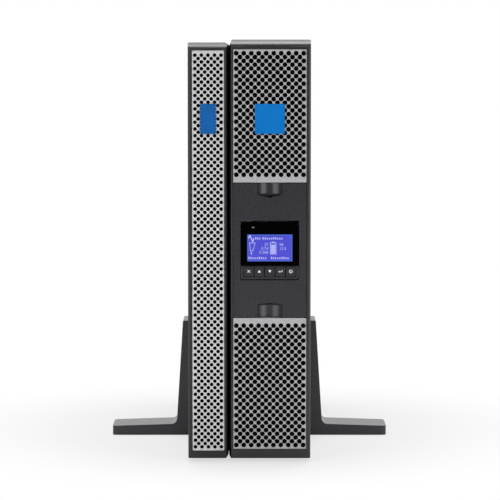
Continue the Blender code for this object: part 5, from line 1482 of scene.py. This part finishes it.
@dataclass
class RearFittings:
    """The rear panel with its sockets, ports, covers and screws."""

    flange_half: tuple[float, float] = (15.4 * MM, 6.6 * MM)
    flange_thick: float = 0.5 * MM
    shell_fit: float = 0.15 * MM
    shell_wall: float = 1.05 * MM
    shell_slant: float = 1.8 * MM
    insert_floor: float = 5.9 * MM
    insert_face: float = 2.6 * MM
    nut_radius: float = 2.7 * MM
    nut_height: float = 1.9 * MM
    nut_offset: float = 12.5 * MM
    pin_radius: float = 0.5 * MM
    pin_long: float = 2.4 * MM
    pin_pitch: float = 2.77 * MM
    pin_rows: tuple[tuple[int, float], ...] = ((5, 1.42 * MM), (4, -1.42 * MM))

    def build(self) -> None:
        """Refine the rear pieces, dress the serial port and fit the screws."""
        self.dress_serial_port()
        plan = {
            "ups_rear_panel": (CASE_BLACK, "case_steel", 0.2),
            "outlet_frame": (SOCKET_BLACK, "socket_black", 0.4),
            "outlet_cores": (SOCKET_GREY, "socket_grey", 0.3),
            "mains_inlet": (SOCKET_BLACK, "socket_black", 0.45),
            "breaker_body": (SOCKET_BLACK, "socket_black", 0.3),
            "ups_battery_socket": (SOCKET_GREY, "socket_grey", 0.45),
            "module_battery_socket": (SOCKET_GREY, "socket_grey", 0.45),
            "card_slot_cover": (PLATED_STEEL, "bare_steel", 0.3),
            "usb_port": (PLATED_STEEL, "bare_steel", 0.2),
            "serial_port": (PLATED_STEEL, "bare_steel", 0.25),
            "tie_plate_lower": (PLATED_STEEL, "bare_steel", 0.3),
            "tie_plate_upper": (PLATED_STEEL, "bare_steel", 0.3),
        }
        for node, (finish, slot, width) in plan.items():
            present(refined(node, width * MM), finish, Body.CABINET, (node,))
        present(refined("breaker_button", 0.3 * MM), SOCKET_GREY, Body.RESET_BUTTON, ("breaker_button",))
        places = []
        for node, inset in (("card_slot_cover", 4.5 * MM), ("tie_plate_lower", 4.5 * MM), ("tie_plate_upper", 4.5 * MM)):
            low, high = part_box(node)
            middle = (low.z + high.z) / 2
            places += [Vector((low.x + inset, high.y, middle)), Vector((high.x - inset, high.y, middle))]
        for node in ("ups_rear_panel", "module_tray"):
            low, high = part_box(node)
            for z in (low.z + 5.0 * MM, high.z - 5.0 * MM):
                places += [Vector((low.x + 5.0 * MM, high.y, z)), Vector((high.x - 5.0 * MM, high.y, z))]
        Screws().fit("rear_screws", places, Vector((0.0, 1.0, 0.0)))

    def slanted(self, name: str, low: Vector, high: Vector) -> bpy.types.Object:
        """Model a block with the serial port's slanted ends, narrower below than above."""
        made = block(name, low, high)
        for side, way in ((low.x, 1.0), (high.x, -1.0)):
            nudge(made, lambda place, normal: place.z < low.z + EPS and abs(place.x - side) < EPS,
                  (way * self.shell_slant, 0.0, 0.0))
        return made

    def dress_serial_port(self) -> None:
        """Model the port's flange with its two nuts, its insert and its nine pins."""
        low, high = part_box("serial_port")
        middle = (low + high) / 2
        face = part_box("ups_rear_panel")[1].y
        middle.y = face + self.flange_thick / 2
        half_x, half_z = self.flange_half
        flange = block("serial_port_flange", *around(middle, (half_x, self.flange_thick / 2, half_z)))
        bevel(flange, lambda mid, way: abs(way.y) > 0.9, 1.5 * MM, 4)
        fit = Vector((self.shell_fit, 0.0, self.shell_fit))
        opening_high = Vector((high.x, high.y + self.insert_face, high.z)) + fit
        soften(cut(flange, self.slanted("opening", low - fit, opening_high)), 0.1 * MM)
        nuts = []
        for side in (-self.nut_offset, self.nut_offset):
            place = middle + Vector((side, self.nut_height / 2, 0.0))
            nut = rod("nut", place, self.nut_radius, self.nut_height, Axis.Y, 6)
            bevel(nut, lambda mid, way: mid.y > place.y + self.nut_height / 4 and abs(way.y) < 0.1, 0.25 * MM, 2)
            nuts.append(smooth(cut(nut, rod("thread", place, self.nut_radius / 2, 2 * self.nut_height, Axis.Y, 20))))
        present(join("serial_port_flange", [flange] + nuts), PLATED_STEEL, Body.CABINET)
        wall = Vector((self.shell_wall, 0.0, self.shell_wall))
        insert_low, insert_high = low + wall, high - wall
        insert_low.y, insert_high.y = high.y - self.insert_floor, high.y - self.insert_face
        insert = soften(self.slanted("serial_port_insert", insert_low, insert_high), 0.2 * MM)
        present(insert, SOCKET_BLACK, Body.CABINET)
        pins = []
        for count, up in self.pin_rows:
            start = Vector((middle.x - (count - 1) * self.pin_pitch / 2, insert_high.y + self.pin_long * 0.4, middle.z + up))
            pin = rod("pin", start, self.pin_radius, self.pin_long, Axis.Y, 14)
            bevel(pin, lambda mid, way: mid.y > start.y and abs(way.y) < 0.1, self.pin_radius / 2, 3)
            pins.append(row(pin, count, (self.pin_pitch, 0.0, 0.0)))
        present(smooth(join("serial_port_pins", pins)), SCREW_STEEL, Body.CABINET)


@dataclass
class Fan:
    """A cooling fan: frame, rotor with curved blades, and the wire guard outside."""

    name: str
    body: Body
    blades: int = 7
    hub_radius: float = 15.0 * MM
    tip_radius: float = 35.2 * MM
    wire: float = 0.65 * MM
    rings: tuple[float, ...] = (10.0 * MM, 16.5 * MM, 23.0 * MM, 29.5 * MM, 36.0 * MM)
    hole_offset: float = 35.0 * MM

    def build(self) -> None:
        """Model the frame, rotor and guard."""
        frame_node, rotor_node = f"{self.name}_frame", f"{self.name}_rotor"
        present(refined(frame_node, 0.5 * MM), FAN_BLACK, Body.CABINET, (frame_node,))
        low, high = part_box(frame_node)
        middle = Vector(((low.x + high.x) / 2, 0.0, (low.z + high.z) / 2))
        self.build_rotor(rotor_node, middle)
        self.build_guard(middle)

    def build_rotor(self, node: str, middle: Vector) -> None:
        """Model the rotor: a domed hub and twisted blades.

        Args:
            node: The rotor's CAD node.
            middle: The fan's middle, seen from behind.
        """
        low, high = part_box(node)
        front = low.y + 2.6 * MM
        hub = rod("hub", middle + Vector((0.0, (front + high.y) / 2, 0.0)), self.hub_radius, high.y - front, Axis.Y, 64)
        bevel(hub, lambda mid, way: mid.y > high.y - EPS and abs(way.y) < 0.1, 2.0 * MM, 6)
        shaft_centre = middle + Vector((0.0, (low.y + front) / 2 + 1.0 * MM, 0.0))
        combine(hub, [rod("shaft", shaft_centre, 2.0 * MM, front - low.y + 2.0 * MM, Axis.Y, 24)], "UNION")
        axis = middle + Vector((0.0, (front + high.y) / 2, 0.0))
        blade = self.blade(axis)
        for index in range(self.blades):
            made = copy_of(blade, f"blade_{index}", (0.0, 0.0, 0.0))
            combine(hub, [turned(made, 2 * math.pi * index / self.blades, Axis.Y, axis)], "UNION")
        bpy.data.objects.remove(blade)
        hub.name = f"{node}_piece"
        present(smooth(hub), FAN_BLACK, self.body, (node,))

    def blade(self, axis: Vector) -> bpy.types.Object:
        """Model one blade: a thin plate, cambered and twisted from root to tip.

        Args:
            axis: The rotor's middle.

        Returns:
            The blade, pointing along X.
        """
        low = axis + Vector((self.hub_radius * 0.9, -0.7 * MM, -6.5 * MM))
        high = axis + Vector((self.tip_radius, 0.7 * MM, 6.5 * MM))
        blade = block("blade", low, high)
        pick(blade, Part.FACES, lambda mid, normal: True)
        bpy.ops.mesh.subdivide(number_cuts=5)
        done()
        span = high.x - low.x
        for corner in blade.data.vertices:
            share = (corner.co.x - low.x) / span
            chord = corner.co.z - axis.z
            camber = 1.6 * MM * (1.0 - (chord / (6.5 * MM)) ** 2)
            thin = 1.0 - 0.45 * share
            local = Vector((0.0, (corner.co.y - axis.y) * thin + camber, chord * (0.94 + 0.06 * share)))
            turn = Matrix.Rotation(math.radians(48.0 - 20.0 * share), 3, "X")
            corner.co = Vector((corner.co.x, axis.y, axis.z)) + turn @ local
        reach = self.tip_radius
        for corner in blade.data.vertices:
            flat = Vector((corner.co.x - axis.x, 0.0, corner.co.z - axis.z))
            if flat.length > reach:
                flat *= reach / flat.length
                corner.co = Vector((axis.x + flat.x, corner.co.y, axis.z + flat.z))
        return blade

    def build_guard(self, middle: Vector) -> None:
        """Model the wire guard: rings on four spokes that end at the fan's screws.

        Args:
            middle: The fan's middle, seen from behind.
        """
        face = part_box("ups_rear_panel")[1].y
        ring_y, spoke_y = face + 0.9 * MM, face + 2.0 * MM
        wires = []
        for radius in self.rings:
            deselect()
            bpy.ops.mesh.primitive_torus_add(location=middle + Vector((0.0, ring_y, 0.0)), major_radius=radius,
                                             minor_radius=self.wire, major_segments=72, minor_segments=10,
                                             rotation=(math.radians(90.0), 0.0, 0.0))
            wires.append(settle("ring"))
        corner = self.hole_offset
        ends = []
        for turn in range(4):
            angle = math.radians(45.0 + 90.0 * turn)
            way = Vector((math.cos(angle), 0.0, math.sin(angle)))
            inner, outer = way * self.rings[0] * 0.9, way * corner * math.sqrt(2.0) * 0.96
            length = (outer - inner).length
            spoke = rod("spoke", Vector((inner.length + length / 2, 0.0, 0.0)), self.wire, length, Axis.X, 10)
            spoke = turned(spoke, -angle, Axis.Y, Vector())
            wires.append(copy_of(spoke, "placed_spoke", middle + Vector((0.0, spoke_y, 0.0))))
            bpy.data.objects.remove(spoke)
            ends.append(middle + way * corner * math.sqrt(2.0) + Vector((0.0, face + 1.0 * MM, 0.0)))
        for end in ends:
            eye = rod("eye", end, 3.6 * MM, 1.6 * MM, Axis.Y, 28)
            bevel(eye, lambda mid, way: abs(way.y) < 0.1, 0.3 * MM, 2)
            wires.append(eye)
        guard = join(f"{self.name}_guard", wires)
        present(smooth(guard), GUARD_CHROME, Body.CABINET)
        Screws(radius=2.6 * MM, height=0.9 * MM).fit(f"{self.name}_screws", [end + Vector((0.0, 0.8 * MM, 0.0)) for end in ends],
                                                     Vector((0.0, 1.0, 0.0)))


@dataclass
class Studio:
    """A pale floor, soft boxes and a camera at the photograph's place."""

    camera_place: tuple[float, float, float] = (0.0007, -2.729, 0.426)
    camera_pitch: float = -4.606
    lens: float = 172.6
    floor_half: float = 14.0
    ambient: float = 0.2
    room: float = 0.1

    def build(self) -> None:
        """Set the stage."""
        self.build_floor()
        self.build_world()
        self.soft_box("overhead", (0.0, 0.6, 2.3), (0.0, 0.0, 0.3), (1.5, 1.5), 38.0)
        self.soft_box("left_box", (-0.47, -0.8, 0.34), (0.0, -0.2, 0.3), (0.5, 0.66), 2.3)
        self.soft_box("right_box", (0.56, -0.75, 0.34), (0.0, -0.2, 0.3), (0.5, 0.66), 2.5)
        self.soft_box("high_front", (0.0, -2.2, 2.6), (0.0, 0.0, 0.22), (1.6, 1.0), 5.0)
        view = bpy.data.cameras.new("portrait_camera")
        view.lens = self.lens
        view.sensor_width = 36.0
        camera = bpy.data.objects.new("portrait_camera", view)
        camera.location = self.camera_place
        camera.rotation_euler = (math.radians(90.0 + self.camera_pitch), 0.0, 0.0)
        bpy.context.scene.collection.objects.link(camera)
        bpy.context.scene.camera = camera
        bpy.context.scene.view_settings.view_transform = "Standard"

    def soft_box(self, name: str, place: tuple, aim: tuple, size: tuple, power: float) -> None:
        """Hang a soft box.

        Args:
            name: Name for the lamp.
            place: Where it hangs.
            aim: The point that it faces.
            size: Its width and height.
            power: Its power in watts.
        """
        lamp = bpy.data.lights.new(name, "AREA")
        lamp.shape = "RECTANGLE"
        lamp.size, lamp.size_y = size
        lamp.energy = power
        holder = bpy.data.objects.new(name, lamp)
        holder.location = place
        holder.rotation_euler = (Vector(aim) - Vector(place)).to_track_quat("-Z", "Y").to_euler()
        bpy.context.scene.collection.objects.link(holder)

    def build_floor(self) -> None:
        """Lay the floor: pale round the object, where it keeps the shadow, and as white as the backdrop far off."""
        deselect()
        bpy.ops.mesh.primitive_plane_add(size=2 * self.floor_half)
        floor = settle("studio_floor")
        made = bpy.data.materials.new("studio_floor_paint")
        made.use_nodes = True
        tree = made.node_tree
        shader = tree.nodes["Principled BSDF"]
        shader.inputs["Base Color"].default_value = srgb("#F4F4F4")
        shader.inputs["Roughness"].default_value = 0.8
        coords = add_node(tree, "ShaderNodeTexCoord", {}, {})
        place = coords.outputs["Object"]
        reach = add_node(tree, "ShaderNodeVectorMath", {"operation": "LENGTH"}, {0: place})
        fade = add_node(tree, "ShaderNodeMapRange",
                        {"interpolation_type": "SMOOTHSTEP", "From Min": 0.2, "From Max": 0.42, "To Min": 0.65},
                        {"Value": reach.outputs["Value"]})
        share = add_node(tree, "ShaderNodeMath", {"operation": "MULTIPLY"},
                         {0: fade.outputs[0], 1: self.seen_strength(tree, place, 0.0, 0.0)})
        white = add_node(tree, "ShaderNodeEmission", {"Color": (1.0, 1.0, 1.0, 1.0), "Strength": 1.0}, {})
        mix = add_node(tree, "ShaderNodeMixShader", {},
                       {0: share.outputs[0], 1: shader.outputs[0], 2: white.outputs[0]})
        tree.links.new(mix.outputs[0], tree.nodes["Material Output"].inputs["Surface"])
        floor.data.materials.append(made)

    @staticmethod
    def seen_strength(tree: bpy.types.NodeTree, place: bpy.types.NodeSocket, lit: float,
                      room: float) -> bpy.types.NodeSocket:
        """Add the backdrop's strength: 1 for the camera, and for reflections 1 behind the object but dim in front.

        Args:
            tree: Tree to add to.
            place: The place on the floor, or the direction in the world.
            lit: Strength for the light that the backdrop gives.
            room: Strength that reflections of the dark room in front show.

        Returns:
            A socket with the strength.
        """
        path = add_node(tree, "ShaderNodeLightPath", {}, {})
        across = add_node(tree, "ShaderNodeSeparateXYZ", {}, {0: place})
        mirrored = add_node(tree, "ShaderNodeMapRange",
                            {"interpolation_type": "SMOOTHSTEP", "From Min": -0.1, "From Max": 0.6, "To Min": room},
                            {"Value": across.outputs["Y"]})
        gloss = add_node(tree, "ShaderNodeMath", {"operation": "MAXIMUM"},
                         {0: path.outputs["Is Glossy Ray"], 1: path.outputs["Is Transmission Ray"]})
        shown = add_node(tree, "ShaderNodeMapRange", {"To Min": lit},
                         {"Value": gloss.outputs[0], "To Max": mirrored.outputs[0]})
        strength = add_node(tree, "ShaderNodeMapRange", {},
                            {"Value": path.outputs["Is Camera Ray"], "To Min": shown.outputs[0]})
        return strength.outputs[0]

    def build_world(self) -> None:
        """Make the backdrop white to the eye, and a plain soft fill for the light that it gives."""
        world = bpy.data.worlds.new("studio_backdrop")
        world.use_nodes = True
        tree = world.node_tree
        background = tree.nodes["Background"]
        background.inputs["Color"].default_value = (1.0, 1.0, 1.0, 1.0)
        coords = add_node(tree, "ShaderNodeTexCoord", {}, {})
        strength = self.seen_strength(tree, coords.outputs["Generated"], self.ambient, self.room)
        tree.links.new(strength, background.inputs["Strength"])
        bpy.context.scene.world = world


def dress_solids() -> None:
    """Give the CAD solids that stay in view their finishes."""
    for finish, nodes in CAD_FINISHES.items():
        for node in nodes:
            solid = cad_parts[node]
            solid.data.materials.clear()
            solid.data.materials.append(finish.material())
            LOG.info("%s: %s", node, finish.name)


def main() -> None:
    """Build every sub-assembly in order, then the studio."""
    logging.basicConfig(level=logging.INFO, format="%(message)s")
    frame_low, frame_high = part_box("ups_bezel_frame")
    cover_low, cover_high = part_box("centre_cover")
    joint = 0.4 * MM
    ups_end = 10.0 * MM
    upper_window = (cover_high.z + joint, frame_high.z - ups_end)
    lower_window = (frame_low.z + ups_end, cover_low.z - joint)
    ups_windows = (lower_window, (cover_low.z - joint, cover_high.z + joint), upper_window)
    ups_bezel = Bezel("ups_bezel_frame", -1, ups_end, ups_windows, (3.0 * MM, 8.0 * MM), (2.3 * MM, 2.6 * MM),
                      FRAME_ABS)
    ups_bezel.build()
    module_low, module_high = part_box("module_bezel")
    module_end = 8.2 * MM
    module_windows = ((module_low.z + module_end, module_high.z - module_end),)
    module_bezel = Bezel("module_bezel", 1, module_end, module_windows, (2.7 * MM, 4.6 * MM), (3.0 * MM, 3.4 * MM),
                         CHARCOAL_ABS)
    module_bezel.build()
    Grille("upper_grille", Body.UPPER_COVER, 10, 33, 7.8 * MM, 3.95 * MM, 2.55 * MM, 4.2 * MM).build()
    Grille("lower_grille", Body.LOWER_COVER, 10, 33, 7.8 * MM, 3.95 * MM, 2.55 * MM, 4.2 * MM, from_top=False).build()
    Grille("module_grille", Body.CABINET, 5, 119, 6.82 * MM, 3.485 * MM, 1.98 * MM, 5.0 * MM,
           finish=MODULE_SILVER, sides=16).build()
    Badge("ups_badge", Body.BADGE, BADGE_BLUE, pin_radius=2.5 * MM).build()
    Badge("module_badge", Body.CABINET, MODULE_BLUE, corner=1.0 * MM).build()
    CentreCover().build()
    DisplayUnit().build()
    Stand().build()
    Cases().build(ups_bezel, module_bezel)
    RearFittings().build()
    Fan("upper_fan", Body.UPPER_ROTOR).build()
    Fan("lower_fan", Body.LOWER_ROTOR).build()
    dress_solids()
    Studio().build()


if __name__ == "__main__":
    main()
